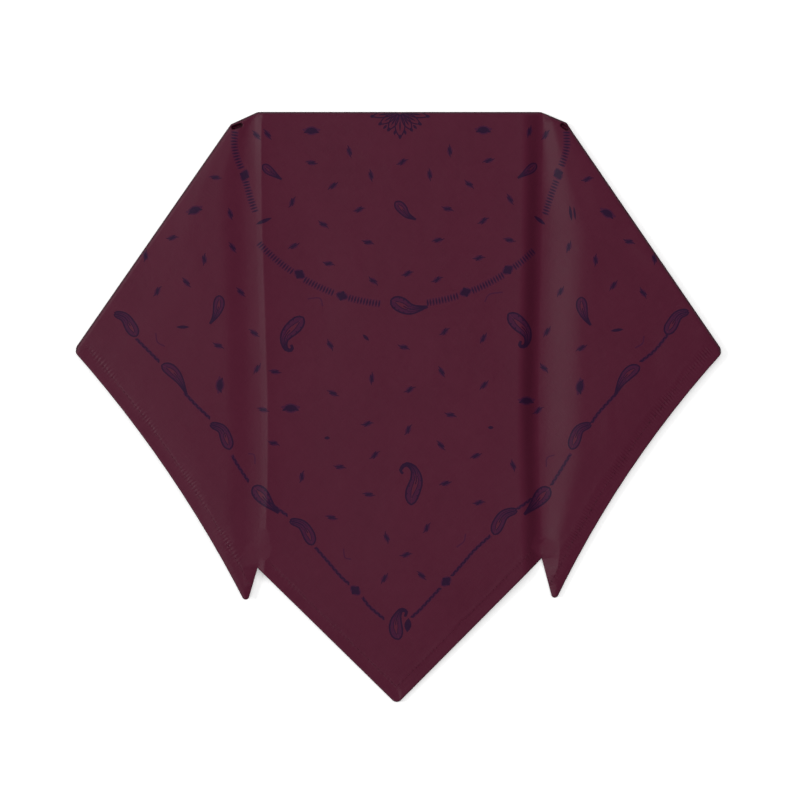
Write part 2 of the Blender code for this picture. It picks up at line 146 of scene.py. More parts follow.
def rounded(before, corner, after, radius):
    """The arc that rounds a path's corner."""
    to_before, to_after = unit(before - corner), unit(after - corner)
    half = math.acos(np.clip(to_before @ to_after, -1.0, 1.0)) / 2.0
    centre = corner + unit(to_before + to_after) * (radius / math.sin(half))
    start = corner + to_before * (radius / math.tan(half)) - centre
    end = corner + to_after * (radius / math.tan(half)) - centre
    turn = math.atan2(start[0] * end[1] - start[1] * end[0], start @ end)
    angles = turn * np.linspace(0.0, 1.0, ARC_STEPS + 1)
    across = np.array((-start[1], start[0]))
    return centre + np.outer(np.cos(angles), start) + np.outer(np.sin(angles), across)


def corner_of(side, name):
    x, y = next(row for row in OUTLINE if row["point"] == name)[side]
    return np.array((side * x, y))


def rounding_of(name):
    return next(row for row in OUTLINE if row["point"] == name)["round"]


def divided(start, end, steps, sag=0.0):
    """Points from start to end, bowed to the left of the way by sag at the middle."""
    share = np.linspace(0.0, 1.0, steps + 1)
    left = unit(np.array((start[1] - end[1], end[0] - start[0])))
    return start + np.outer(share, end - start) + np.outer(4.0 * sag * share * (1.0 - share), left)


def side_paths(side):
    """A side's fold from the top fold's middle to the outer corner, its hem, and the tip's inner fold."""
    end, shoulder, turn, corner, tip, notch = (corner_of(side, row["point"]) for row in OUTLINE)
    hem = divided(corner, tip, HEM_STEPS, -side * HEM_SAG[side])
    corner_arc = rounded(turn, corner, hem[1], rounding_of("outer_corner"))
    tip_arc = rounded(hem[-2], tip, notch, rounding_of("tip"))
    half_arc = ARC_STEPS // 2
    fold = np.vstack((np.zeros((1, 2)), rounded(np.zeros(2), end, shoulder, rounding_of("fold_end")),
                      rounded(end, shoulder, turn, rounding_of("shoulder")),
                      rounded(shoulder, turn, corner, rounding_of("shoulder_turn")),
                      corner_arc[:half_arc + 1]))
    hem = np.vstack((corner_arc[half_arc:], hem[1:-1], tip_arc[:half_arc + 1]))
    spike = np.vstack((tip_arc[half_arc:], notch))
    return fold, hem, spike


def bottom_path():
    """The middle's hem, from the left notch round the bottom corner to the right notch."""
    left, right = corner_of(LEFT, "notch"), corner_of(RIGHT, "notch")
    arc = rounded(left, np.array((BOTTOM_X, -BOTTOM_CORNER)), right, BOTTOM_ROUND)
    return np.vstack((left, arc, right))


def length_along(path):
    """Distance from a path's start to each of its points."""
    return np.concatenate(([0.0], np.cumsum(np.hypot(*np.diff(path, axis=0).T))))


def resampled(path, step):
    """A path with its corners kept and its runs cut into even steps."""
    points = [path[:1]]
    for start, end in zip(path[:-1], path[1:]):
        points.append(divided(start, end, max(int(round(np.hypot(*(end - start)) / step)), 1))[1:])
    return np.vstack(points)


def on_path(path, places):
    """The points on a path at distances from its start."""
    lengths = length_along(path)
    return np.column_stack([np.interp(places, lengths, path[:, axis]) for axis in (0, 1)])


def closed(path):
    return np.vstack((path, path[:1]))


def lefts_of(path):
    """The direction to the left of the way at each of a path's points."""
    ways = np.gradient(path, axis=0)
    return np.column_stack((-ways[:, 1], ways[:, 0])) / np.maximum(np.hypot(*ways.T), 1e-6)[:, None]


def moved(path, distance):
    """A path moved to the left of its way."""
    return path + lefts_of(path) * distance


def project(path, points):
    """Distance from each point to a path, and how far along the path its nearest place is."""
    nearest = np.full(len(points), np.inf)
    place = np.zeros(len(points))
    for start, end, before in zip(path[:-1], path[1:], length_along(path)):
        way = end - start
        length = np.hypot(*way)
        share = np.clip(((points - start) @ way) / length ** 2, 0.0, 1.0)
        distance = np.hypot(*(points - start - share[:, None] * way).T)
        closer = distance < nearest
        nearest[closer] = distance[closer]
        place[closer] = before + share[closer] * length
    return nearest, place


def nearest_of(paths, points):
    return np.min([project(path, points)[0] for path in paths], axis=0)


FOLDS, HEMS, SPIKES = {}, {}, {}
for each_side in (LEFT, RIGHT):
    FOLDS[each_side], HEMS[each_side], SPIKES[each_side] = side_paths(each_side)
BOTTOM = bottom_path()
FOLD_LINE = np.vstack((FOLDS[LEFT][:0:-1], FOLDS[RIGHT]))

EDGE_STEP = 1.6
HEM_STEP = 0.5
HEM_LOOP = resampled(np.vstack((HEMS[LEFT], SPIKES[LEFT][1:], BOTTOM[1:],
                                SPIKES[RIGHT][-2::-1], HEMS[RIGHT][-2::-1])), HEM_STEP)
LEFT_FOLD = resampled(FOLDS[LEFT], EDGE_STEP)[:-1]
HEM_START = len(LEFT_FOLD)
FRONT_OUTLINE = np.vstack((LEFT_FOLD, HEM_LOOP, resampled(FOLDS[RIGHT], EDGE_STEP)[-2:0:-1]))
CAD_CENTRE = np.array((cad_box[0] + cad_box[1])[:2]) / 2.0
FOLD_MIDDLE = CAD_CENTRE - (FRONT_OUTLINE.min(0) + FRONT_OUTLINE.max(0)) / 2.0 * MM


# ---- Heights of the front ply's face ----

def curve_at(table, name, y):
    """A column of a table at each y, on a smooth curve through its rows."""
    places = -np.array([row["y"] for row in table])
    values = np.array([row[name] for row in table])
    last = len(table) - 1
    y = np.clip(-y, places[0], places[-1])
    k = np.clip(np.searchsorted(places, y, side="right") - 1, 0, last - 1)
    share = (y - places[k]) / (places[k + 1] - places[k])
    before, start, end, after = (values[np.clip(k + step, 0, last)] for step in (-1, 0, 1, 2))
    start_slope, end_slope = (end - before) / 2.0, (after - start) / 2.0
    bend = 3.0 * (end - start) - 2.0 * start_slope - end_slope
    twist = 2.0 * (start - end) + start_slope + end_slope
    return start + share * (start_slope + share * (bend + share * twist))


def wing_reach(side, y):
    """How far out from the middle the wing's edge lies at each y."""
    edge = np.vstack((FOLDS[side], HEMS[side][1:]))
    edge = edge[edge[:, 1] < 0.0]
    return np.interp(-y, -edge[:, 1], np.abs(edge[:, 0]))


def folded_height(points):
    """The plain folded form: middle, pleats, wings, rounded folds and hems that sink a little."""
    x, y = points.T
    z = np.zeros(len(points))
    for side in (LEFT, RIGHT):
        pleat = PLEATS[side]
        section = {name: curve_at(SECTIONS[side], name, y) for name in SECTIONS[side][0] if name != "y"}
        crease = curve_at(CREASES, side, y)
        width = np.maximum(wing_reach(side, y) - crease, 1.0)
        valley = np.minimum(pleat["valley"], NARROW_VALLEY * width)
        outward = side * x - crease - valley
        fall = pleat["fall"] - pleat["valley"] + valley
        share = np.clip(-outward / fall, 0.0, 1.0)
        share = share ** pleat["ease"] if pleat["ease"] else smooth(share)
        lip = pleat["lip"] * np.exp(-np.maximum(-outward - fall, 0.0) / LIP_FADE)
        middle = between(section["valley"], section["middle"] + lip, share)
        reach = width - valley
        ridge_at = np.minimum(pleat["ridge"], NARROW_RIDGE * reach)
        wing = between(section["valley"], section["ridge"], smooth(outward / ridge_at))
        share = (outward - ridge_at) / (reach - ridge_at)
        wing += (section["dish"] - section["ridge"]) * smooth(share / DISH_AT)
        wing += (section["edge"] - section["dish"]) * smooth((share - DISH_AT) / (1.0 - DISH_AT))
        here = side * x > 0.0 if side == RIGHT else x <= 0.0
        z[here] = np.where(outward < 0.0, middle, wing)[here]
    from_hem = nearest_of((BOTTOM, HEMS[LEFT], HEMS[RIGHT]), points)
    z -= (z - FOLD_EDGE_Z) * HEM_SINK * (1.0 - smooth(from_hem / HEM_DROOP))
    return z


def soft_noise(points, scale, seed):
    """Smooth noise from -1 to 1 over the plan, with features about scale millimetres wide."""
    return np.array([noise.noise((x / scale, y / scale, seed)) for x, y in points])


# Soft creases that laying and folding leave: a line, its half width, and its height (a trough below 0).
SOFT_CREASES = (
    {"from": (-138.0, -58.0), "to": (-155.0, -150.0), "half": 10.0, "height": 0.22},
    {"from": (-165.0, -118.0), "to": (-196.0, -150.0), "half": 8.0, "height": -0.2},
    {"from": (-128.0, -190.0), "to": (-150.0, -215.0), "half": 10.0, "height": 0.18},
    {"from": (139.0, -195.0), "to": (137.0, -232.0), "half": 4.5, "height": 0.35},
    {"from": (150.0, -84.0), "to": (178.0, -112.0), "half": 3.5, "height": 0.4},
    {"from": (124.0, -60.0), "to": (130.0, -160.0), "half": 4.0, "height": 0.16},
    {"from": (160.0, -130.0), "to": (172.0, -196.0), "half": 9.0, "height": -0.4},
    {"from": (188.0, -130.0), "to": (206.0, -158.0), "half": 6.0, "height": 0.4},
    {"from": (-66.0, -30.0), "to": (-62.0, -270.0), "half": 17.0, "height": -0.38},
    {"from": (28.0, -12.0), "to": (22.0, -190.0), "half": 11.0, "height": 0.14},
    {"from": (60.0, -90.0), "to": (66.0, -300.0), "half": 12.0, "height": -0.15},
    {"from": (-10.0, -200.0), "to": (-6.0, -330.0), "half": 15.0, "height": 0.15},
    {"from": (-70.0, -270.0), "to": (-12.0, -352.0), "half": 10.0, "height": -0.16},
)


HEM_ROLL = HEM_WALL / 2.0
HEM_PATHS = (HEMS[LEFT], SPIKES[LEFT], BOTTOM, SPIKES[RIGHT], HEMS[RIGHT])


def crease_relief(points):
    z = np.zeros(len(points))
    for mark in SOFT_CREASES:
        line = divided(np.array(mark["from"]), np.array(mark["to"]), 8, mark["half"] * 0.5)
        distance, place = project(line, points)
        share = place / length_along(line)[-1]
        fade = np.sin(np.pi * np.clip(share, 0.0, 1.0)) ** 0.7
        uneven = 0.7 + 0.3 * np.sin(share * 9.0 + mark["half"])
        z += mark["height"] * fade * uneven * np.exp(-(distance / mark["half"]) ** 2)
    return z


# Hems: where the stitching draws the cloth, how far in, how wide, and how strongly. A step sinks the cloth to
# the stitched line and lifts it again beyond. The draw fades at a run's ends and stops at its reach.
STEP_BACK, STEP_WIDE, RUN_FADE, DRAW_REACH = 6.5, 2.2, 9.0, 26.0
BOTTOM_RUNS = {side: np.array((corner_of(side, "notch"), (BOTTOM_X, -BOTTOM_CORNER)))
               for side in (LEFT, RIGHT)}
HEM_DRAWS = (
    {"runs": HEMS, "side": LEFT, "from_x": 90.0, "ridge_at": 7.8, "ridge": 0.1, "ridge_half": 1.2,
     "step": 0.36, "pucker_at": 9.0, "pucker_half": 4.0, "pucker": 0.11, "pitch": 2.4},
    {"runs": HEMS, "side": RIGHT, "from_x": 90.0, "ridge_at": 12.5, "ridge": 0.2, "ridge_half": 1.5,
     "step": 0.0, "pucker_at": 8.5, "pucker_half": 5.0, "pucker": 0.34, "pitch": 1.95},
    {"runs": BOTTOM_RUNS, "side": LEFT, "from_x": 0.0, "ridge_at": 7.3, "ridge": 0.12, "ridge_half": 1.2,
     "step": 0.5, "pucker_at": 8.0, "pucker_half": 3.0, "pucker": 0.05, "pitch": 2.8},
    {"runs": BOTTOM_RUNS, "side": RIGHT, "from_x": 0.0, "ridge_at": 9.2, "ridge": 0.16, "ridge_half": 1.4,
     "step": 0.0, "pucker_at": 8.0, "pucker_half": 3.5, "pucker": 0.06, "pitch": 2.4},
)


def hem_relief(points):
    """The stitched line's low ridge and the puckers across each hem."""
    z = np.zeros(len(points))
    for draw in HEM_DRAWS:
        side, run = draw["side"], draw["runs"][draw["side"]]
        distance, place = project(run, points)
        here = (side * points[:, 0] > draw["from_x"]) & (distance < DRAW_REACH)
        distance, place = distance[here], place[here]
        wander = 0.6 * np.sin(place / 9.0) + 0.35 * np.sin(place / 3.7 + 1.0)
        ridge = np.exp(-((distance - draw["ridge_at"] - wander) / draw["ridge_half"]) ** 2)
        ridge *= draw["ridge"] * (0.75 + 0.25 * np.sin(place / 5.3 + 2.0))
        past = distance - draw["ridge_at"] - 0.5 * wander
        ridge -= draw["step"] * np.where(past < 0.0, np.clip(1.0 + past / STEP_BACK, 0.0, 1.0),
                                         1.0 - smooth(past / STEP_WIDE))
        phase = 2.0 * np.pi * place / draw["pitch"] + 1.6 * np.sin(place / 6.1) + distance * 0.25
        band = smooth(1.0 - np.abs(distance - draw["pucker_at"]) / draw["pucker_half"])
        strength = draw["pucker"] * (0.6 + 0.4 * np.sin(place / 7.7 + side))
        ends = smooth(place / RUN_FADE)
        if draw["runs"] is HEMS:
            ends *= smooth((length_along(run)[-1] - place) / RUN_FADE)
        z[here] += (ridge + strength * band * np.sin(phase)) * ends
    return z


# The shoulders: a small dark hollow beside each, where the plies part.
HOLLOWS = (
    {"at": (-109.6, -9.9), "along": (-2.4, -0.8), "half": 0.9, "depth": 6.0},
    {"at": (110.8, -10.2), "along": (1.4, -1.0), "half": 0.9, "depth": 6.0},
)
HOLLOW_FLOOR = 2.9
# Unevenness of the laid cloth: height, size across and seed of each noise.
UNEVEN = ({"height": 0.22, "size": 46.0, "seed": 1.7}, {"height": 0.07, "size": 14.0, "seed": 4.1})


def from_hollow(hollow, points):
    at, along = np.array(hollow["at"]), np.array(hollow["along"])
    return project(np.vstack((at - along, at + along)), points)[0]


def hollow_relief(points):
    z = np.zeros(len(points))
    for hollow in HOLLOWS:
        z -= hollow["depth"] * smooth(1.0 - from_hollow(hollow, points) / (2.0 * hollow["half"]))
    return z


def front_height(points):
    """Height of the front ply's face with all that laying, folding and stitching leave on it."""
    z = folded_height(points) + crease_relief(points) + hem_relief(points)
    z += sum(row["height"] * soft_noise(points, row["size"], row["seed"]) for row in UNEVEN)
    from_fold = np.clip(project(FOLD_LINE, points)[0] / FOLD_ROLL, 0.0, 1.0)
    rolled = np.sqrt(1.0 - (1.0 - from_fold) ** 3)
    z = between(FOLD_EDGE_Z, z, rolled)
    z = np.where(z > HOLLOW_FLOOR, np.maximum(z + hollow_relief(points), HOLLOW_FLOOR), z)
    from_hem = nearest_of(HEM_PATHS, points)
    in_roll = 1.0 - np.clip(from_hem / HEM_ROLL, 0.0, 1.0)
    return z - HEM_ROLL * (1.0 - np.sqrt(1.0 - in_roll ** 2)) * rolled


# ---- Print: strokes and leaves as polygons in plan ----

THIN, FULL = 1, 2


class Ink:
    """Printed shapes gathered as polygons in plan, each in thin or full ink."""

    def __init__(self):
        self.polygons, self.tones = [], []

    def fill(self, points, tone=FULL):
        self.polygons.append(np.asarray(points))
        self.tones.append(tone)

    def stroke(self, points, widths, tone=FULL):
        """A brush stroke along points, as quads. A quad that a tight bend turns over is left out."""
        points = np.asarray(points, float)
        lefts = lefts_of(points)
        widths = np.broadcast_to(widths, len(points))
        high, low = points + lefts * widths[:, None] / 2.0, points - lefts * widths[:, None] / 2.0
        for k in range(len(points) - 1):
            quad = np.array((low[k], low[k + 1], high[k + 1], high[k]))
            before, after = quad - np.roll(quad, 1, axis=0), np.roll(quad, -1, axis=0) - quad
            if np.min(before[:, 0] * after[:, 1] - before[:, 1] * after[:, 0]) > 1e-5:
                self.fill(quad, tone)


def turned(points, degrees, scale=1.0, at=(0.0, 0.0)):
    """Points turned about their origin, scaled and put in place."""
    angle = math.radians(degrees)
    across = np.array(((math.cos(angle), math.sin(angle)), (-math.sin(angle), math.cos(angle))))
    return (np.asarray(points, float) * scale) @ across + np.array(at)


def placer(x, y, degrees, size=1.0):
    """A function that puts a motif's own shapes on the cloth."""
    def place(points, turn=0.0, at=(0.0, 0.0)):
        return turned(turned(points, turn, 1.0, at), degrees, size, (x, y))
    return place


def almond(length, width, steps=5, power=0.85):
    """A leaf's outline, pointed at both ends, or rounder with a lower power."""
    share = np.linspace(0.0, 1.0, steps + 1)
    swell = width / 2.0 * np.sin(np.pi * share) ** power
    x = (share - 0.5) * length
    return np.vstack((np.column_stack((x, -swell)), np.column_stack((x, swell))[-2:0:-1]))


def sprig(ink, x, y, degrees, size=1.0):
    """A leaf sprig: a thin stem, a middle leaf and two small leaves that lie along it."""
    place = placer(x, y, degrees, size)
    bend = 0.6 if (int(x * 7.0) + int(y * 3.0)) % 2 else -0.6
    stem = [(-4.4, -bend), (-2.8, -0.2 * bend), (0.0, 0.0), (2.8, 0.2 * bend), (4.4, bend)]
    ink.stroke(place(stem), np.array((0.4, 0.55, 0.65, 0.55, 0.4)) * size)
    ink.fill(place(almond(7.4, 3.7)), THIN)
    ink.fill(place(almond(5.6, 1.6)))
    ink.fill(place(almond(3.0, 0.8), 14.0, (1.2, 1.05)))
    ink.fill(place(almond(3.0, 0.8), 14.0, (-1.2, -1.05)))


def bud(ink, x, y, degrees, size=1.0):
    """A filled bud with a small leaf at each end and a thin rim."""
    place = placer(x, y, degrees, size)
    ink.fill(place(almond(10.2, 6.0, 10, 0.6)), THIN)
    ink.fill(place(almond(8.0, 4.3, 10, 0.65)))
    for end in (-1.0, 1.0):
        ink.fill(place(almond(3.8, 1.9), 9.0 * end, (4.3 * end, 0.5)), THIN)
        ink.fill(place(almond(3.0, 1.2), -14.0 * end, (3.9 * end, -1.0)))


# Half widths along a drop, from its head to its tail.
PAISLEY_FORMS = {
    "pointed": ((0.0, 0.0), (0.05, 0.55), (0.14, 0.88), (0.27, 1.0), (0.42, 0.9), (0.58, 0.66), (0.74, 0.4),
                (0.88, 0.2), (1.0, 0.06)),
    "blunt": ((0.0, 0.0), (0.05, 0.55), (0.14, 0.88), (0.27, 1.0), (0.45, 0.93), (0.62, 0.78), (0.78, 0.66),
              (0.9, 0.56), (0.96, 0.38), (1.0, 0.08)),
    "hooked": ((0.0, 0.0), (0.04, 0.5), (0.11, 0.85), (0.22, 1.0), (0.36, 0.94), (0.48, 0.76), (0.58, 0.52),
               (0.68, 0.34), (0.8, 0.19), (0.92, 0.12), (1.0, 0.05)),
}
BARE_FROM, BARE_LONG = 0.09, 0.5
VEINED_FROM = 9.0


def paisley(ink, axis, width, form):
    """A curled drop along its axis, head first: an outline, thin print in it and a bare core in the head."""
    share = (1.0 - np.cos(np.pi * np.linspace(0.0, 1.0, 23))) / 2.0
    line = curved(axis, 8)
    axis = on_path(line, share * length_along(line)[-1])
    swell = width / 2.0 * np.interp(share, *np.array(PAISLEY_FORMS[form]).T)
    bare = 0.17 * width * np.sin(np.pi * np.clip((share - BARE_FROM) / BARE_LONG, 0.0, 1.0))
    lefts = lefts_of(axis)
    pen = 0.6 + 0.055 * width
    in_head = bare > 0.2
    for flank in (-1.0, 1.0):
        ink.stroke(axis + lefts * (flank * (swell + bare) / 2.0)[:, None], np.maximum(swell - bare, 0.05),
                   THIN)
        ink.stroke(axis + lefts * (flank * swell)[:, None], pen)
        ink.stroke((axis + lefts * (flank * bare)[:, None])[in_head], 0.45 * pen)
        if width > VEINED_FROM:
            for k in (6, 8, 10, 12, 14):
                root = axis[k] + lefts[k] * flank * swell[k]
                ink.stroke([root, root - lefts[k] * flank * 0.3 * swell[k]], 0.7 * pen)
    ink.stroke(axis[9:21], np.linspace(0.6, 1.0, 12) * pen)
    for flank in (-0.5, 0.5):
        ink.stroke((axis + lefts * (flank * swell)[:, None])[11:19], np.linspace(0.3, 0.55, 8) * pen)


def bead(ink, x, y, degrees):
    """A bead of the ring: a filled lozenge across another."""
    place = placer(x, y, degrees)
    ink.fill(place(almond(9.0, 6.2, 8, 0.6)), THIN)
    ink.fill(place(almond(7.6, 4.2, 8, 0.65)))
    ink.fill(place(almond(7.2, 3.4, 8, 0.65), 90.0))


# The medallion's petals: direction, length, width.
PETALS = ((270.0, 19.0, 6.6), (238.0, 16.0, 5.0), (302.0, 16.0, 5.0), (212.0, 17.5, 4.8), (328.0, 17.5, 4.8),
          (190.0, 21.0, 4.2), (350.0, 21.0, 4.2))


def medallion(ink, x, y):
    """The flower at the cloth's centre."""
    for angle, length, width in PETALS:
        outline = closed(almond(length * 0.8, width, 8)) + (length * 0.52, 0.0)
        ink.stroke(turned(outline, angle, 1.0, (x, y)), 0.8)
        ink.fill(turned(almond(length * 0.42, 1.1) + (length * 0.5, 0.0), angle, 1.0, (x, y)))
        ink.fill(turned(almond(3.2, 2.2) + (length * 0.9, 0.0), angle, 1.0, (x, y)))
    for angle in np.arange(180.0, 361.0, 15.0):
        ink.fill(turned(almond(5.4, 1.5) + (4.2, 0.0), angle, 1.0, (x, y)), THIN)
    for angle in (256.0, 284.0, 226.0, 314.0):
        ink.fill(turned(almond(3.6, 1.7) + (14.5, 0.0), angle, 1.0, (x, y)))


def curved(points, steps):
    """Points on a smooth curve through the given points."""
    points = np.asarray(points, float)
    ends = np.vstack((2.0 * points[0] - points[1], points, 2.0 * points[-1] - points[-2]))
    share = np.linspace(0.0, 1.0, steps + 1)[:-1, None]
    runs = []
    for before, start, end, after in zip(ends, ends[1:], ends[2:], ends[3:]):
        way_in, way_out = (end - before) / 2.0, (after - start) / 2.0
        bend = 3.0 * (end - start) - 2.0 * way_in - way_out
        twist = 2.0 * (start - end) + way_in + way_out
        runs.append(start + share * (way_in + share * (bend + share * twist)))
    return np.vstack(runs + [points[-1:]])


def hatch(ink, path, pitch=2.05, reach=4.8):
    """Short brush strokes across a path."""
    places = np.arange(0.0, length_along(path)[-1] + 0.2, pitch)
    for at, on in zip(on_path(path, places - 0.3), on_path(path, places + 0.3)):
        way = unit(on - at)
        across = np.array((-way[1], way[0])) * reach / 2.0
        middle = (at + on) / 2.0
        ink.stroke([middle - across - way * 0.2, middle, middle + across + way * 0.2], (1.0, 1.5, 1.0), THIN)
        ink.fill(turned(almond(4.2, 1.1, 4), math.degrees(math.atan2(across[1], across[0])), 1.0, middle))


def chain(ink, path, pitch=1.9):
    """A rope of small lozenges along a path."""
    places = np.arange(0.0, length_along(path)[-1], pitch)
    ink.stroke(path, 2.3, THIN)
    for number, (at, on) in enumerate(zip(on_path(path, places - 0.5), on_path(path, places + 0.5))):
        way = math.degrees(math.atan2(on[1] - at[1], on[0] - at[0]))
        side = 1.0 if number % 2 else -1.0
        ink.fill(turned(almond(3.3, 1.3, 4), way + 35.0 * side, 1.0, (at + on) / 2.0))


# ---- Where the print's motifs lie ----

RING_CENTRE, RING_RADIUS = np.array((0.0, -0.7)), 129.3

# Sprigs: x, y, direction in degrees. The first rows lie on the middle, the last on the wings.
SPRIGS = (
    (-34, -27, -81), (-59.5, -34.5, -15), (-89, -15.5, -60), (-45, -50, 30), (-19.5, -43, -86),
    (-72.5, -61, 65), (-27.5, -66, 21), (-51.5, -76, -30), (-71.5, -90.5, 20), (-21.5, -88, -10),
    (-48, -102.3, -8), (33.5, -26.5, 88), (59.5, -33, 10), (20, -42.5, 90), (46.5, -49, -38),
    (74, -59, -65), (32, -65.5, -14), (56, -73.5, 33), (73.5, -86.5, -18), (25.5, -86.5, 5),
    (53, -98.5, 12), (87, -13.5, 68), (1.5, -34, 30), (5, -109, 22), (-18, -114, -38), (-47, -157, -60),
    (-84, -175, -15), (-19, -179.5, 80), (-45, -189.5, -32), (25, -113, 28), (30, -148, 40),
    (56, -152.5, 52), (2.5, -158.5, -15), (28, -175, -66), (6.5, -187, 30), (56.5, -184, 40),
    (34, -204, -12), (-22, -210, 15), (-85, -223, -14), (-17, -231, 42), (-40.5, -239, -4),
    (-66, -245.5, 78), (-21, -257.5, -14), (-46, -273, -20), (-9, -286.5, -70), (4, -298, 15),
    (5.5, -214, 62), (27.5, -224.5, -55), (51, -231.5, 15), (76, -238, -72), (30.5, -250, 8),
    (53, -263, 12), (18, -280, 60), (14.5, -312, -50), (-10.5, -314, 52), (-96.5, -16, -55),
    (-124, -44.5, -12), (-114, -69, -78), (-153, -85, 12), (-171, -97, 84), (-131.5, -99.5, 88),
    (-112.5, -91.5, -62), (-143.5, -115, -55), (-163, -121, 58), (-107, -121.5, -52), (-98, -149, -42),
    (-122, -157.5, -22), (-96, -173, 50), (-92, -200.5, -22), (98, -15.5, 55), (126, -45.5, 18),
    (113.5, -91, 65), (154, -87.5, -16), (131.5, -100, 90), (143.5, -117, 46), (163.5, -122, -55),
    (171, -99, 95), (108, -121, 52), (99, -148, 50), (122, -159, 22), (97, -172.5, -45), (93, -201, 38),
)
# Small lozenges: x, y, direction, length.
DOTS = ((-49, -219.5, 0, 4), (61, -212.5, 0, 4), (-146, -145, 0, 9), (146, -147, 8, 9), (-23, -152, -45, 6))
# Buds: x, y, direction, size.
BUDS = (
    (-59.5, -13, 0, 1.0), (56, -12.5, 0, 1.0), (-138, -66.5, 20, 1.0), (139.5, -68.5, -30, 1.0),
    (-73.5, -199.5, 0, 1.08), (85, -194.5, 0, 1.0), (-121, -184, 85, 1.0), (121, -185, 80, 1.0),
)
# Drops: the axis from head to tail, and how far a twin on the other side is moved.
PAISLEYS = (
    {"axis": ((-176.9, -151.1), (-180.6, -145.2), (-185.0, -138.5), (-192.0, -136.0)), "width": 7.7,
     "form": "blunt", "twin": (2.0, 1.5)},
    {"axis": ((-114.3, -227.1), (-116.3, -221.2), (-119.7, -213.6), (-127.4, -210.3)), "width": 7.5,
     "form": "blunt", "twin": (1.0, 0.0)},
    {"axis": ((-58.9, -291.5), (-61.1, -285.2), (-65.7, -278.0), (-74.1, -275.1)), "width": 7.6,
     "form": "blunt", "twin": (4.5, 7.0)},
    {"axis": ((-160.1, -170.6), (-153.8, -174.0), (-148.0, -180.7), (-143.2, -190.5)), "width": 7.6,
     "form": "pointed", "twin": (1.0, -1.0)},
    {"axis": ((-98.7, -252.3), (-93.9, -257.1), (-88.2, -263.6), (-81.5, -270.0)), "width": 9.6,
     "form": "pointed", "twin": (2.0, -1.0)},
    {"axis": ((-64.9, -138.5), (-70.5, -144.0), (-76.4, -150.0), (-78.0, -155.5), (-76.0, -160.2),
              (-72.4, -160.0), (-73.2, -156.8)), "width": 9.4, "form": "hooked", "twin": (8.0, 2.5)},
    {"axis": ((7.5, -264.5), (8.2, -257.0), (11.0, -248.0), (9.2, -240.2), (4.0, -237.2), (0.4, -241.0),
              (2.0, -243.6)), "width": 9.2, "form": "hooked", "twin": None},
    {"axis": ((-0.6, -355.0), (-2.6, -349.0), (-2.6, -342.2), (0.4, -335.6), (4.2, -336.2), (3.4, -339.8)),
     "width": 8.6, "form": "hooked", "twin": None},
    {"axis": ((-6.1, -126.6), (0.1, -129.7), (7.7, -133.0), (18.6, -131.3)), "width": 9.6,
     "form": "pointed", "twin": None},
    {"axis": ((-92.1, -36.0), (-87.5, -40.2), (-79.6, -45.7)), "width": 5.4, "form": "pointed",
     "twin": (-0.5, 0.8)},
    {"axis": ((-3.1, -60.9), (1.2, -65.2), (4.8, -69.7), (10.7, -72.7)), "width": 6.4, "form": "pointed",
     "twin": None},
    {"axis": ((-121.3, -123.9), (-121.8, -130.6), (-124.0, -137.4), (-127.7, -142.8)), "width": 7.0,
     "form": "pointed", "twin": (0.5, -1.0)},
)
# Beads of the ring and of the chain: x, y, direction.
BEADS = (
    (-67.5, -109.5, -32), (-39, -124, -18), (44, -121.5, 20), (72.5, -106.5, 34), (-104.5, -43, 70),
    (106.5, -42, -70), (-30, -322, 138), (31, -316, 42),
)
# Loose leaves: from, to, width.
LEAVES = (
    ((-97.0, -76.0), (-86.0, -71.5), 2.6), ((90.0, -70.0), (98.0, -76.0), 2.6),
    ((4.8, -350.2), (5.8, -340.6), 4.8),
    ((115.5, -73.5), (114.0, -63.0), 2.0), ((118.0, -73.0), (116.8, -63.5), 1.4),
)
# Thin single strokes that the design hangs between its rings.
TENDRILS = (
    ((-62, -126), (-54, -125.5), (-52, -131)), ((57, -128), (60, -123), (69, -121.5)),
    ((-38, -294), (-37, -300), (-33, -301)), ((44, -284), (43, -289), (38, -293)),
    ((-164, -149), (-163, -155), (-158, -158)), ((164, -151), (163, -156), (158, -159)),
    ((-102, -230), (-98, -231), (-97.5, -237)), ((104, -231), (99, -233), (98.5, -239)),
)
# The ring over the middle, as spans of its angle, and over the wings, as points.
RING_SPANS = ((-137, -124.0), (-119.6, -109.7), (-105.3, -95.9), (-81.8, -72.2), (-67.8, -57.8),
              (-53.4, -46.2))
WING_RING = (
    ((-111, -14), (-111.5, -21), (-110, -30), (-106.8, -38)), ((-103.6, -47.5), (-100, -60), (-97, -68)),
    ((112, -14), (112, -25), (108.3, -37.5)), ((105.0, -47), (101, -58), (97.6, -69)),
)
CHAINS = (
    ((-11, -341), (-20, -333.5), (-25.5, -326.5)), ((-34.5, -317.5), (-40, -312.5), (-50, -301), (-57, -293)),
    ((-76, -271.5), (-85, -265), (-89, -261)), ((-102, -248.5), (-109, -238), (-113, -231)),
    ((-128, -206), (-137, -197.5), (-145, -189)), ((-162, -168), (-170, -160), (-177, -153)),
    ((8, -340), (14, -334.5), (20, -328), (27, -320.5)), ((35, -312), (43, -303), (50, -295), (61, -285)),
    ((79, -267), (85, -263), (88.5, -260.5)), ((102, -251), (107, -243), (115, -230)),
    ((129, -209), (134, -202), (146, -189)), ((162, -168), (171, -161), (180, -150)),
)


def ring_point(degrees):
    angle = np.radians(degrees)
    return RING_CENTRE + RING_RADIUS * np.column_stack((np.cos(angle), np.sin(angle)))


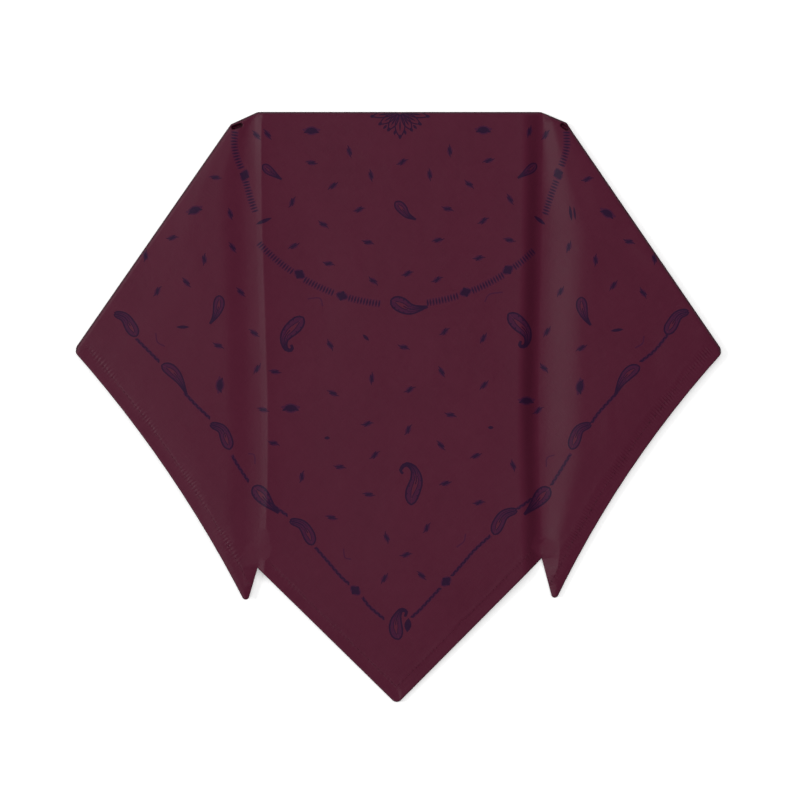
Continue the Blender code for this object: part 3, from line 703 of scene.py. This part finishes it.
def printed():
    """All of one face's print."""
    ink = Ink()
    medallion(ink, 0.0, 0.0)
    for row in SPRIGS:
        sprig(ink, *row)
    for x, y, degrees, length in DOTS:
        ink.fill(turned(almond(length, 2.2), degrees, 1.0, (x, y)))
    for row in BUDS:
        bud(ink, *row)
    for row in PAISLEYS:
        paisley(ink, row["axis"], row["width"], row["form"])
        if row["twin"]:
            paisley(ink, np.array(row["axis"]) * (-1.0, 1.0) + row["twin"], row["width"], row["form"])
    for row in BEADS:
        bead(ink, *row)
    for start, end, width in LEAVES:
        start, end = np.array(start), np.array(end)
        way = math.degrees(math.atan2(*(end - start)[::-1]))
        ink.fill(turned(almond(np.hypot(*(end - start)), width), way, 1.0, (start + end) / 2.0))
    for points in TENDRILS:
        ink.stroke(curved(points, 3), 0.85, THIN)
    for first, last in RING_SPANS:
        hatch(ink, ring_point(np.linspace(first, last, 12)))
    for points in WING_RING:
        hatch(ink, curved(points, 6))
    for points in CHAINS:
        chain(ink, curved(points, 6))
    return ink


# ---- Meshes ----

def inside(path, points):
    """Whether each point lies inside a closed path."""
    crossings = np.zeros(len(points), int)
    for (x0, y0), (x1, y1) in zip(path, np.roll(path, -1, axis=0)):
        if y0 != y1:
            spans = (points[:, 1] > y0) != (points[:, 1] > y1)
            crossings += spans & (points[:, 0] < x0 + (points[:, 1] - y0) * (x1 - x0) / (y1 - y0))
    return crossings % 2 == 1


class Plan:
    """Dots, lines and shapes in plan that are triangulated together. The first shape is the outline."""

    def __init__(self, outline):
        self.points, self.lines, self.shapes, self.tones = [], [], [], []
        self.outline = outline
        self.shape(outline)

    def shape(self, path, tone=0):
        self.tones.append(tone)
        self.shapes.append(list(range(len(self.points), len(self.points) + len(path))))
        self.points.extend(path)

    def line(self, path):
        first = len(self.points)
        self.lines.extend((first + k, first + k + 1) for k in range(len(path) - 1))
        self.points.extend(path)

    def dots(self, points):
        self.points.extend(points[inside(self.outline, points)])

    def print_on(self, ink):
        """Adds the printed shapes that lie wholly inside the outline."""
        starts = np.cumsum([0] + [len(polygon) for polygon in ink.polygons[:-1]])
        wholly = np.logical_and.reduceat(inside(self.outline, np.vstack(ink.polygons)), starts)
        for polygon, tone in itertools.compress(zip(ink.polygons, ink.tones), wholly):
            self.shape(polygon, tone)

    def triangles(self):
        """Points, the outline's point numbers, the triangles inside it, and the ink on each."""
        found = delaunay_2d_cdt([Vector(point) for point in self.points], self.lines, self.shapes, 0, 1e-3)
        number_of = {given: number for number, several in enumerate(found[3]) for given in several}
        around = np.array([number_of[k] for k in range(len(self.outline))])
        within = np.array([0 in shapes for shapes in found[5]])
        tones = np.array([max((self.tones[shape] for shape in shapes), default=0) for shapes in found[5]])
        return np.array(found[0]), around, np.array(found[2])[within], tones[within]


def grid(step):
    """Rows of dots over the whole cloth, each row half a step aside of the last."""
    low, high = FRONT_OUTLINE.min(0), FRONT_OUTLINE.max(0)
    x, y = np.meshgrid(np.arange(low[0], high[0], step), np.arange(low[1], high[1], step * 0.87))
    x[1::2] += step / 2.0
    return np.column_stack((x.ravel(), y.ravel()))


def crease_line(side):
    """The wing's seam with the middle, from the fold to the notch."""
    end = corner_of(side, "notch")
    y = np.linspace(0.0, end[1], 160)
    x = side * curve_at(CREASES, side, y)
    x += (end[0] - x[-1]) * smooth((-y + end[1] + 30.0) / 30.0)
    return np.column_stack((x, y))


CREASE_LINES = {side: crease_line(side) for side in (LEFT, RIGHT)}
LIP = PLEATS[LEFT]["fall"] - PLEATS[LEFT]["valley"]
LIP_ROWS = (-1.5, -0.7, 0.0, 0.7, 1.5)
FOLD_ROWS = (0.05, 0.2, 0.5, 0.9, 1.4, 2.0, 2.6, 3.3, 4.8)
# Finer dots lie near the shoulders' hollows; coarse ones keep clear of the finer rows.
DOTS_APART, NEAR_APART, NEAR_TOP, NEAR_HOLLOW, NEAR_FOLD = 2.1, 0.55, -16.0, 3.4, 0.9
CLEAR_OF_FOLD, CLEAR_OF_HEM, CLEAR_OF_LIP = 6.0, 15.2, 2.3
HEM_ROWS = (0.04, 0.18, 0.45, 0.9, 2.0, 3.3, 4.6, 5.9, 6.8, 7.3, 7.8, 8.3, 8.8, 9.4, 10.4, 11.6, 12.9, 14.2)


def front_plan(ink):
    plan = Plan(FRONT_OUTLINE)
    for side in (LEFT, RIGHT):
        plan.line(CREASE_LINES[side])
    for row in LIP_ROWS:
        plan.dots(CREASE_LINES[LEFT][3:-14] + (LIP + row, 0.0))
    for path in (HEMS[LEFT], BOTTOM, HEMS[RIGHT]):
        fine = resampled(path, HEM_STEP)
        inward = -1.0 if path is HEMS[RIGHT] else 1.0
        for row in HEM_ROWS:
            points = moved(fine, inward * row)
            plan.dots(points[nearest_of(HEM_PATHS, points) > row * 0.97])
        seam = moved(fine, inward * HEM_WIDTH)
        seam = seam[inside(FRONT_OUTLINE, seam)]
        plan.line(seam[nearest_of((path,), seam) > HEM_WIDTH * 0.995])
    fine = resampled(FOLD_LINE, EDGE_STEP)
    for row in FOLD_ROWS:
        points = moved(fine, -row)
        plan.dots(points[project(FOLD_LINE, points)[0] > row * 0.97])
    near = grid(NEAR_APART)
    near = near[near[:, 1] > NEAR_TOP]
    hollow_near = np.min([from_hollow(row, near) for row in HOLLOWS], axis=0) < NEAR_HOLLOW
    plan.dots(near[(project(FOLD_LINE, near)[0] > NEAR_FOLD) & hollow_near])
    dots = grid(DOTS_APART)
    clear = project(FOLD_LINE, dots)[0] > CLEAR_OF_FOLD
    clear &= nearest_of(HEM_PATHS, dots) > CLEAR_OF_HEM
    clear &= project(CREASE_LINES[LEFT] + (LIP, 0.0), dots)[0] > CLEAR_OF_LIP
    plan.dots(dots[clear])
    plan.print_on(ink)
    return plan


def piece_at(points):
    """The name of the front's piece at each point."""
    names = np.full(len(points), "middle", dtype=object)
    x, y = points.T
    for name, side in SIDES.items():
        line = CREASE_LINES[side]
        beyond = side * x > side * np.interp(-y, -line[:, 1], line[:, 0])
        names[beyond] = name + "_wing"
        names[beyond & (project(HEMS[side], points)[0] < HEM_WIDTH)] = name + "_wing_hem"
        own = ~beyond & (side * (x - BOTTOM_X) > 0.0)
        names[own & (project(BOTTOM, points)[0] < HEM_WIDTH)] = name + "_bottom_hem"
    return names


def clear_reach(edge, inward, reach):
    """How far in a turned hem may go before it meets the far side of a corner."""
    reach = np.full(len(edge), reach)
    for _ in range(16):
        found = project(closed(FRONT_OUTLINE[::3]), edge + inward * reach[:, None])[0]
        reach = np.where(found < 0.93 * reach, 0.86 * reach, reach)
    return reach


def turned_hem(edge, face, roll, way):
    """Rows of points from a hem's edge round its roll and along its turned part, below (-1) or above (1)."""
    inward = lefts_of(edge)
    reach = clear_reach(edge, inward, HEM_WIDTH)
    height = face(edge)
    rows = [np.column_stack((edge + inward * roll * (1.0 - math.cos(a)), height + way * roll * math.sin(a)))
            for a in (math.pi / 6.0, math.pi / 3.0, math.pi / 2.0)]
    for share in (0.35, 0.7, 1.0):
        points = edge + inward * np.maximum(reach * share, roll)[:, None]
        rows.append(np.column_stack((points, face(points) + way * 2.0 * roll)))
    return rows


def strip(first, second, way):
    """Triangles between two rows of point numbers."""
    quads = zip(first[:-1], second[:-1], second[1:], first[1:])
    if way > 0:
        quads = [quad[::-1] for quad in quads]
    return [triangle for a, b, c, d in quads for triangle in ((a, b, c), (a, c, d))]


def with_turned_hem(points, triangles, inked, edge, edge_numbers, face, roll, way):
    """A face's points, triangles and ink with its hem's roll and turned part added."""
    rows = turned_hem(edge, face, roll, way)
    starts = [len(points) + k * len(edge) for k in range(len(rows))]
    numbers = [list(edge_numbers)] + [range(start, start + len(edge)) for start in starts]
    added = [triangle for first, second in zip(numbers, numbers[1:])
             for triangle in strip(first, second, way)]
    return (np.vstack([points] + rows), np.vstack((triangles, added)),
            np.concatenate((inked, np.zeros(len(added), int))))


def point_normals(points, triangles):
    sides = points[triangles]
    faces = np.cross(sides[:, 1] - sides[:, 0], sides[:, 2] - sides[:, 0])
    normals = np.zeros_like(points)
    for corner in range(3):
        np.add.at(normals, triangles[:, corner], faces)
    return normals / np.maximum(np.linalg.norm(normals, axis=1), 1e-12)[:, None]


def in_frame(points):
    """Plan millimetres to the frame's metres."""
    return points * MM + np.array((*FOLD_MIDDLE, 0.0))


def in_scene(name, data):
    made = bpy.data.objects.new(name, data)
    bpy.context.scene.collection.objects.link(made)
    return made


def piece(name, points, triangles, normals, inked, finishes, replaces):
    """A cloth piece with its own points, shaded across its seams as one cloth."""
    used, numbers = np.unique(triangles, return_inverse=True)
    mesh = bpy.data.meshes.new(name)
    mesh.from_pydata(in_frame(points[used]).tolist(), [], numbers.reshape(-1, 3).tolist())
    for finish in finishes:
        mesh.materials.append(finish)
    mesh.polygons.foreach_set("material_index", inked.astype(np.int32))
    mesh.polygons.foreach_set("use_smooth", np.ones(len(triangles), bool))
    mesh.normals_split_custom_set_from_vertices(normals[used].tolist())
    made = in_scene(name, mesh)
    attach(made, "root")
    if replaces:
        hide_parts(replaces)
    return made


# ---- The under side ----

REST_Z = 0.12
UNDER_LIFT = 1.2
UNDER_ROLL = 2.5
UNDER_HEM_ROLL = 0.9
CORNER_ROLL = 0.35
TUCK = 3.0
LIFT_FROM, LIFT_OVER = -4.5, 5.0
TUCK_FROM, TUCK_OVER = 86.0, 12.0
TURNED = {side: np.vstack((FOLDS[side][1:], [(side * FLAP_TIP[0], FLAP_TIP[1])])) for side in (LEFT, RIGHT)}
TOP_FOLD = np.array((FOLDS[LEFT][5], FOLDS[RIGHT][5]))


def roll_share(distance, radius):
    """How far a rolled edge has risen, from 1 at the edge to 0 a radius in."""
    share = 1.0 - np.clip(distance / radius, 0.0, 1.0)
    return 1.0 - np.sqrt(1.0 - share ** 2)


def back_height(points):
    """The back half's outer face: flat where it rests, lifted over the turned corners, rolled at its rim."""
    z = np.full(len(points), REST_Z)
    for side in (LEFT, RIGHT):
        distance = project(closed(TURNED[side]), points)[0]
        distance *= np.where(inside(TURNED[side], points), 1.0, -1.0)
        z = np.maximum(z, REST_Z + UNDER_LIFT * smooth((distance - LIFT_FROM) / LIFT_OVER))
    z += (FOLD_EDGE_Z - z) * roll_share(project(TOP_FOLD, points)[0], UNDER_ROLL)
    return z + UNDER_HEM_ROLL * roll_share(project(UNDER_HEM, points)[0], UNDER_HEM_ROLL)


def corner_height(points, side):
    """A turned corner's face: flat where it rests, rolled up into the wing's fold."""
    z = np.full(len(points), REST_Z)
    z += (FOLD_EDGE_Z - z) * roll_share(project(FOLDS[side], points)[0], UNDER_ROLL)
    hem = np.array((corner_of(side, "outer_corner"), TURNED[side][-1], corner_of(side, "fold_end")))
    return z + CORNER_ROLL * roll_share(project(hem, points)[0], CORNER_ROLL)


def under_outline():
    """The back half in plan: at the top fold's edge, inside the wings' folds and just inside the hems."""
    path = FRONT_OUTLINE
    before, after = np.roll(path, 1, axis=0), np.roll(path, -1, axis=0)
    lefts = np.column_stack(((before - after)[:, 1], (after - before)[:, 0]))
    lefts /= np.hypot(*lefts.T)[:, None]
    to_fold, to_hem = project(FOLD_LINE, path)[0], nearest_of(HEM_PATHS, path)
    place = length_along(path)
    inset = np.where(to_fold < 1e-6, TUCK * smooth((np.abs(path[:, 0]) - TUCK_FROM) / TUCK_OVER),
                     0.75 + 0.35 * np.sin(place / 23.0))
    moved_in = path + lefts * inset[:, None]
    keep = np.minimum(project(FOLD_LINE, moved_in)[0], nearest_of(HEM_PATHS, moved_in)) > inset * 0.9 - 1e-6
    on_hem = to_hem < 1e-6
    return moved_in[keep], on_hem[keep]


UNDER_OUTLINE, UNDER_ON_HEM = under_outline()
UNDER_HEM = UNDER_OUTLINE[UNDER_ON_HEM][::4]


def back_plan(ink):
    plan = Plan(UNDER_OUTLINE)
    for row in (0.1, 0.4, 0.9, 1.6, 2.5):
        plan.dots(resampled(TOP_FOLD, EDGE_STEP) + (0.0, -row))
    for row in (0.1, 0.3, 0.9):
        plan.dots(moved(UNDER_OUTLINE[UNDER_ON_HEM], row))
    for side in (LEFT, RIGHT):
        for row in (-4.5, -3.0, -1.6, 0.5):
            plan.dots(moved(resampled(TURNED[side][-3:], 3.0), side * row))
    dots = grid(3.2)
    plan.dots(dots[(project(TOP_FOLD, dots)[0] > 3.4) & (project(UNDER_HEM, dots)[0] > 2.0)])
    plan.print_on(ink)
    return plan


# A turned corner's print: how far its chain lies from its hem and its rim, and its sprigs' rows and
# clearances.
CORNER_CHAIN_AT, CORNER_CHAIN_CLEAR = 44.0, 6.0
SPRIG_START, SPRIG_PITCH, SPRIG_ROWS = (20.0, -16.0), (25.0, -22.0), 12
SPRIG_CLEAR_OF_RIM, SPRIG_CLEAR_OF_CHAIN, SPRIG_TURN = 9.0, 12.0, 67


def corner_ink(side):
    """Sprigs and a chain on a turned corner."""
    ink = Ink()
    corner, rim = TURNED[side], closed(TURNED[side])
    hem = corner[-2:]
    way = unit(hem[1] - hem[0])
    up = np.array((0.0, 1.0)) - way * way[1]
    places = np.linspace(0.0, np.hypot(*(hem[1] - hem[0])), 90)
    line = hem[0] + unit(up) * CORNER_CHAIN_AT + np.outer(places, way)
    chain(ink, line[inside(corner, line) & (project(rim, line)[0] > CORNER_CHAIN_CLEAR)])
    for number, (row, column) in enumerate(itertools.product(range(SPRIG_ROWS), repeat=2), 1):
        at = np.array((side * (SPRIG_START[0] + SPRIG_PITCH[0] * (column + 0.5 * (row % 2))),
                       SPRIG_START[1] + SPRIG_PITCH[1] * row))
        from_rim, from_chain = (project(path, at[None])[0][0] for path in (rim, line))
        clear = from_rim > SPRIG_CLEAR_OF_RIM and from_chain > SPRIG_CLEAR_OF_CHAIN
        if clear and inside(corner, at[None])[0]:
            sprig(ink, *at, (number * SPRIG_TURN) % 180 - 90)
    return ink


def corner_plan(side, ink):
    outline = resampled(TURNED[side], EDGE_STEP)
    plan = Plan(outline[::-1] if side == RIGHT else outline)
    fold = resampled(FOLDS[side][4:], EDGE_STEP)
    for row in (0.1, 0.4, 0.9, 1.6, 2.5, 4.0):
        points = moved(fold, -row if side == RIGHT else row)
        plan.dots(points[project(FOLDS[side], points)[0] > row * 0.95])
    rim = closed(TURNED[side])
    edge = resampled(rim[-3:], EDGE_STEP)
    for row in (0.1, 0.35, 1.2):
        plan.dots(moved(edge, -row if side == RIGHT else row))
    dots = grid(3.4)
    plan.dots(dots[inside(TURNED[side], dots) & (project(rim, dots)[0] > 4.6)])
    plan.print_on(ink)
    return plan


# ---- Finishes ----

class Wire:
    """A shader value. Sums on it add Math nodes."""

    def __init__(self, finish, socket):
        self.finish, self.socket = finish, socket

    def sum(self, operation, *terms):
        return self.finish.add("ShaderNodeMath", {"operation": operation}, dict(enumerate(terms)))

    def __add__(self, other):
        return self.sum("ADD", self, other)

    def __sub__(self, other):
        return self.sum("SUBTRACT", self, other)

    def __rsub__(self, other):
        return self.sum("SUBTRACT", other, self)

    def __mul__(self, other):
        return self.sum("MULTIPLY", self, other)

    __radd__, __rmul__ = __add__, __mul__

    def waves(self):
        """0 to 1 humps, one for each whole number."""
        return self.sum("ABSOLUTE", self.sum("SINE", self * math.pi))


class Finish:
    """The nodes of a material or the world, on one shader."""

    def __init__(self, owner, shader, constants):
        self.owner = owner
        self.owner.use_nodes = True
        self.tree = self.owner.node_tree
        self.shader = self.tree.nodes[shader]
        self.set(self.shader, constants)

    def set(self, node, sockets):
        for name, value in sockets.items():
            if isinstance(value, Wire):
                self.tree.links.new(value.socket, node.inputs[name])
            else:
                node.inputs[name].default_value = value

    def add(self, kind, settings, sockets, output=0):
        """A node with its settings, then its sockets' values or links. Gives its output."""
        node = self.tree.nodes.new(kind)
        for name, value in settings.items():
            setattr(node, name, value)
        self.set(node, sockets)
        return Wire(self, node.outputs[output])

    def noise(self, place, scale, detail=2.0):
        return self.add("ShaderNodeTexNoise", {}, {"Vector": place, "Scale": scale, "Detail": detail})

    def mixed(self, share, low, high):
        """A colour between two."""
        return self.add("ShaderNodeMix", {"data_type": "RGBA"}, {0: share, 6: low, 7: high}, 2)


THREAD_PITCH = 0.42 * MM
DIAGONAL = 1.0 / (math.sqrt(2.0) * THREAD_PITCH)
BURGUNDY = (0.0700, 0.0061, 0.0215, 1.0)
BURGUNDY_DEEP = (0.0610, 0.0047, 0.0185, 1.0)
BURGUNDY_WORN = (0.0800, 0.0088, 0.0262, 1.0)
# The near-black red below is painted shade for steep faces, turned edges and fold rolls, not a dye.
EDGE_PAINTED_SHADE = (0.0260, 0.0018, 0.0085, 1.0)
THREAD_LIGHT = (0.1000, 0.0150, 0.0360, 1.0)
INK = (0.0165, 0.0032, 0.0205, 1.0)
INK_THIN = (0.0430, 0.0072, 0.0300, 1.0)
INK_WORN = (0.0280, 0.0045, 0.0240, 1.0)
COTTON = {"IOR": 1.5, "Specular IOR Level": 0.4}
PRINTED = {"IOR": 1.5, "Specular IOR Level": 0.26}


def cotton(name, constants, dark, plain, worn, roughness):
    """Plain-woven cotton on the bias: threads both ways, slubs, a mottled dye, and painted shade that darkens
    steep faces such as turned edges and fold rolls.
    """
    finish = Finish(bpy.data.materials.new(name), "Principled BSDF", constants)
    place, upright = (finish.add("ShaderNodeTexCoord", {}, {}, k) for k in (3, 1))
    x, y = (finish.add("ShaderNodeSeparateXYZ", {}, {0: place}, k) for k in (0, 1))
    up = finish.add("ShaderNodeSeparateXYZ", {}, {0: upright}, 2)
    warp, weft = (x + y) * DIAGONAL, (x - y) * DIAGONAL
    threads = warp.waves() * weft.waves()
    lays = [finish.add("ShaderNodeCombineXYZ", {}, {0: run * 0.045, 1: across * 0.55})
            for run, across in ((warp, weft), (weft, warp))]
    slubs = [finish.noise(lay, 1.0, 1.0) for lay in lays]
    mottle = finish.noise(place, 210.0, 3.0)
    cloud = finish.noise(place, 28.0, 2.0)
    base_colour = finish.mixed(cloud * 1.3 + mottle * 1.1 - 0.7, dark, plain)
    base_colour = finish.mixed((slubs[0] * slubs[1] + threads * 0.12 - 0.16) * 1.1, base_colour, worn)
    # Painted shade: where the face tilts away from straight up, as on turned edges, fold rolls and pleat
    # walls, the base colour is darkened towards a near-black red.
    steep = 1.0 - up * up
    base_colour = finish.mixed(steep * steep, base_colour, EDGE_PAINTED_SHADE)
    height = threads * 0.35 + (slubs[0] + slubs[1]) * 1.1 + mottle * 0.9
    bump = finish.add("ShaderNodeBump", {}, {"Strength": 0.8, "Distance": 0.00009, "Height": height})
    finish.set(finish.shader, {"Base Color": base_colour, "Normal": bump,
                               "Roughness": roughness + mottle * 0.12 + steep * 0.5})
    return finish.owner


CLOTH = cotton("burgundy_cotton", COTTON, BURGUNDY_DEEP, BURGUNDY, BURGUNDY_WORN, 0.47)
THIN_PRINT = cotton("thin_print_on_cotton", PRINTED, INK_THIN, INK_THIN, BURGUNDY, 0.47)
PRINT = cotton("dark_print_on_cotton", PRINTED, INK, INK, INK_WORN, 0.47)
THREAD = cotton("burgundy_sewing_thread", COTTON, BURGUNDY_WORN, THREAD_LIGHT, THREAD_LIGHT, 0.5)


# ---- The front ply ----

ink = printed()
plan, around, triangles, inked = front_plan(ink).triangles()
points = np.column_stack((plan, front_height(plan)))
face_names = piece_at(plan[triangles].mean(axis=1))
hem_numbers = around[HEM_START:HEM_START + len(HEM_LOOP)]
points, triangles, inked = with_turned_hem(
    points, triangles, inked, HEM_LOOP, hem_numbers, front_height, HEM_ROLL, -1.0)
step_in = moved(HEM_LOOP, 1.5)
edge_names = np.repeat(piece_at((step_in[:-1] + step_in[1:]) / 2.0), 2)
turned_rows = (len(triangles) - len(face_names)) // len(edge_names)
names = np.concatenate((face_names, np.tile(edge_names, turned_rows)))
normals = point_normals(points, triangles)

FRONT_PIECES = (
    {"part": "middle", "node": "middle_panel", "slot": "cloth"},
    {"part": "left_wing", "node": "left_wing", "slot": "cloth"},
    {"part": "right_wing", "node": "right_wing", "slot": "cloth"},
    {"part": "left_wing_hem", "node": "left_wing_hem", "slot": "hem"},
    {"part": "right_wing_hem", "node": "right_wing_hem", "slot": "hem"},
    {"part": "left_bottom_hem", "node": "left_bottom_hem", "slot": "hem"},
    {"part": "right_bottom_hem", "node": "right_bottom_hem", "slot": "hem"},
)
COTTONS = (CLOTH, THIN_PRINT, PRINT)
for row in FRONT_PIECES:
    name, own = row["part"] + "_cloth", names == row["part"]
    piece(name, points, triangles[own], normals, inked[own], COTTONS, row["node"])


# ---- The under layers ----

plan, around, triangles, inked = back_plan(ink).triangles()
points = np.column_stack((plan, back_height(plan)))
points, triangles, inked = with_turned_hem(
    points, triangles[:, ::-1], inked, UNDER_OUTLINE[UNDER_ON_HEM], around[UNDER_ON_HEM], back_height,
    UNDER_HEM_ROLL, 1.0)
piece("back_cloth", points, triangles, point_normals(points, triangles), inked, COTTONS,
                           "under_layers")
for name, side in SIDES.items():
    name += "_turned_corner"
    plan, _, triangles, inked = corner_plan(side, corner_ink(side)).triangles()
    points = np.column_stack((plan, corner_height(plan, side)))
    triangles = triangles[:, ::-1]
    piece(name, points, triangles, point_normals(points, triangles), inked, COTTONS,
                       "under_layers")


# ---- Hem stitches ----

STITCH_AT = 8.3
STITCH_PITCH = 3.2
STITCH_HALF = 1.25
STITCH_ROWS = ((-0.62, 0.8), (0.0, 1.0), (0.62, 0.8))
STITCH_RADIUS = 0.2
STITCH_SIDES = 6
STITCH_DIP = 0.14
STITCH_PROUD = 0.1
STITCH_FIRST = 3.0


def stitch_body(at, way, lift, left):
    """One stitch: a short rounded lay of thread. Gives points and triangles."""
    points = [at - way * STITCH_HALF - lift * STITCH_DIP]
    for share, width in STITCH_ROWS:
        for k in range(STITCH_SIDES):
            angle = 2.0 * math.pi * k / STITCH_SIDES
            rim = left * math.cos(angle) + lift * math.sin(angle)
            points.append(at + way * share * STITCH_HALF + rim * width * STITCH_RADIUS)
    points.append(at + way * STITCH_HALF - lift * STITCH_DIP)
    triangles = []
    for k in range(STITCH_SIDES):
        after = (k + 1) % STITCH_SIDES
        triangles.append((0, 1 + after, 1 + k))
        for ring in (1, 1 + STITCH_SIDES):
            a, b, c, d = ring + k, ring + after, ring + STITCH_SIDES + after, ring + STITCH_SIDES + k
            triangles += [(a, b, c), (a, c, d)]
        last = 1 + 2 * STITCH_SIDES
        triangles.append((last + k, last + after, len(points) - 1))
    return points, triangles


def stitches():
    all_points, all_triangles = [], []
    for path, inward in ((HEMS[LEFT], 1.0), (BOTTOM, 1.0), (HEMS[RIGHT], -1.0)):
        line = moved(resampled(path, 1.0), inward * STITCH_AT)
        line = line[nearest_of((path,), line) > STITCH_AT * 0.99]
        line = line[inside(FRONT_OUTLINE, line)]
        places = np.arange(STITCH_FIRST, length_along(line)[-1] - STITCH_FIRST, STITCH_PITCH)
        ends = [on_path(line, places + step) for step in (-STITCH_HALF, STITCH_HALF)]
        ends = [np.column_stack((end, front_height(end) + STITCH_PROUD)) for end in ends]
        for start, end in zip(*ends):
            way = (end - start) / np.linalg.norm(end - start)
            left = np.cross((0.0, 0.0, 1.0), way)
            left /= np.linalg.norm(left)
            points, triangles = stitch_body((start + end) / 2.0, way, np.cross(way, left), left)
            first = len(all_points)
            all_triangles += [tuple(number + first for number in triangle) for triangle in triangles]
            all_points += points
    return np.array(all_points), np.array(all_triangles)


points, triangles = stitches()
piece("hem_stitches", points, triangles, point_normals(points, triangles),
                             np.zeros(len(triangles), int), (THREAD,), None)


# ---- Floor, light and camera ----

FLOOR_HALF = 4.0
floor_mesh = bpy.data.meshes.new("floor")
floor_corners = [(FLOOR_HALF * x, FLOOR_HALF * y, 0.0) for x, y in ((-1, -1), (1, -1), (1, 1), (-1, 1))]
floor_mesh.from_pydata(floor_corners, [], [(0, 1, 2, 3)])
floor = in_scene("floor", floor_mesh)
paper = Finish(bpy.data.materials.new("white_paper"), "Principled BSDF", {
    "Base Color": (0.9, 0.9, 0.9, 1.0), "Roughness": 0.9, "Specular IOR Level": 0.1,
    "Emission Color": (1.0, 1.0, 1.0, 1.0)})
CAMERA_RAY, GLOSSY_RAY, TRANSMISSION_RAY = 0, 3, 6
seen = [paper.add("ShaderNodeLightPath", {}, {}, ray) for ray in (CAMERA_RAY, GLOSSY_RAY, TRANSMISSION_RAY)]
paper.set(paper.shader, {"Emission Strength": (seen[0] + seen[1] + seen[2]) * 0.3})
floor_mesh.materials.append(paper.owner)

world = bpy.data.worlds.new("studio")
bpy.context.scene.world = world
room = Finish(world, "Background", {"Color": (1.0, 1.0, 1.0, 1.0)})
room.set(room.shader, {"Strength": room.add("ShaderNodeLightPath", {}, {}, CAMERA_RAY) * 0.9 + 0.1})

# Soft lights, aimed at the cloth: place, side length, power, and whether its gloss shows.
LIGHTS = (
    {"name": "soft_box", "at": (-3.0, 0.5, 2.6), "size": 1.9, "power": 88.0, "gloss": True},
    {"name": "ceiling", "at": (0.45, 0.45, 3.6), "size": 3.6, "power": 106.0, "gloss": False},
)
for row in LIGHTS:
    lamp = bpy.data.lights.new(row["name"], "AREA")
    lamp.size, lamp.energy = row["size"], row["power"]
    lamp.cycles.use_multiple_importance_sampling = row["gloss"]
    light = in_scene(row["name"], lamp)
    light.visible_glossy = row["gloss"]
    light.location = row["at"]
    light.rotation_euler = (-Vector(row["at"])).to_track_quat("-Z", "Y").to_euler()

camera = in_scene("camera", bpy.data.cameras.new("camera"))
camera.data.lens, camera.data.sensor_width = 200.0, 36.0
camera.location = (0.00104, 0.00467, 2.9960)
bpy.context.scene.camera = camera
bpy.context.scene.view_settings.view_transform = "Standard"
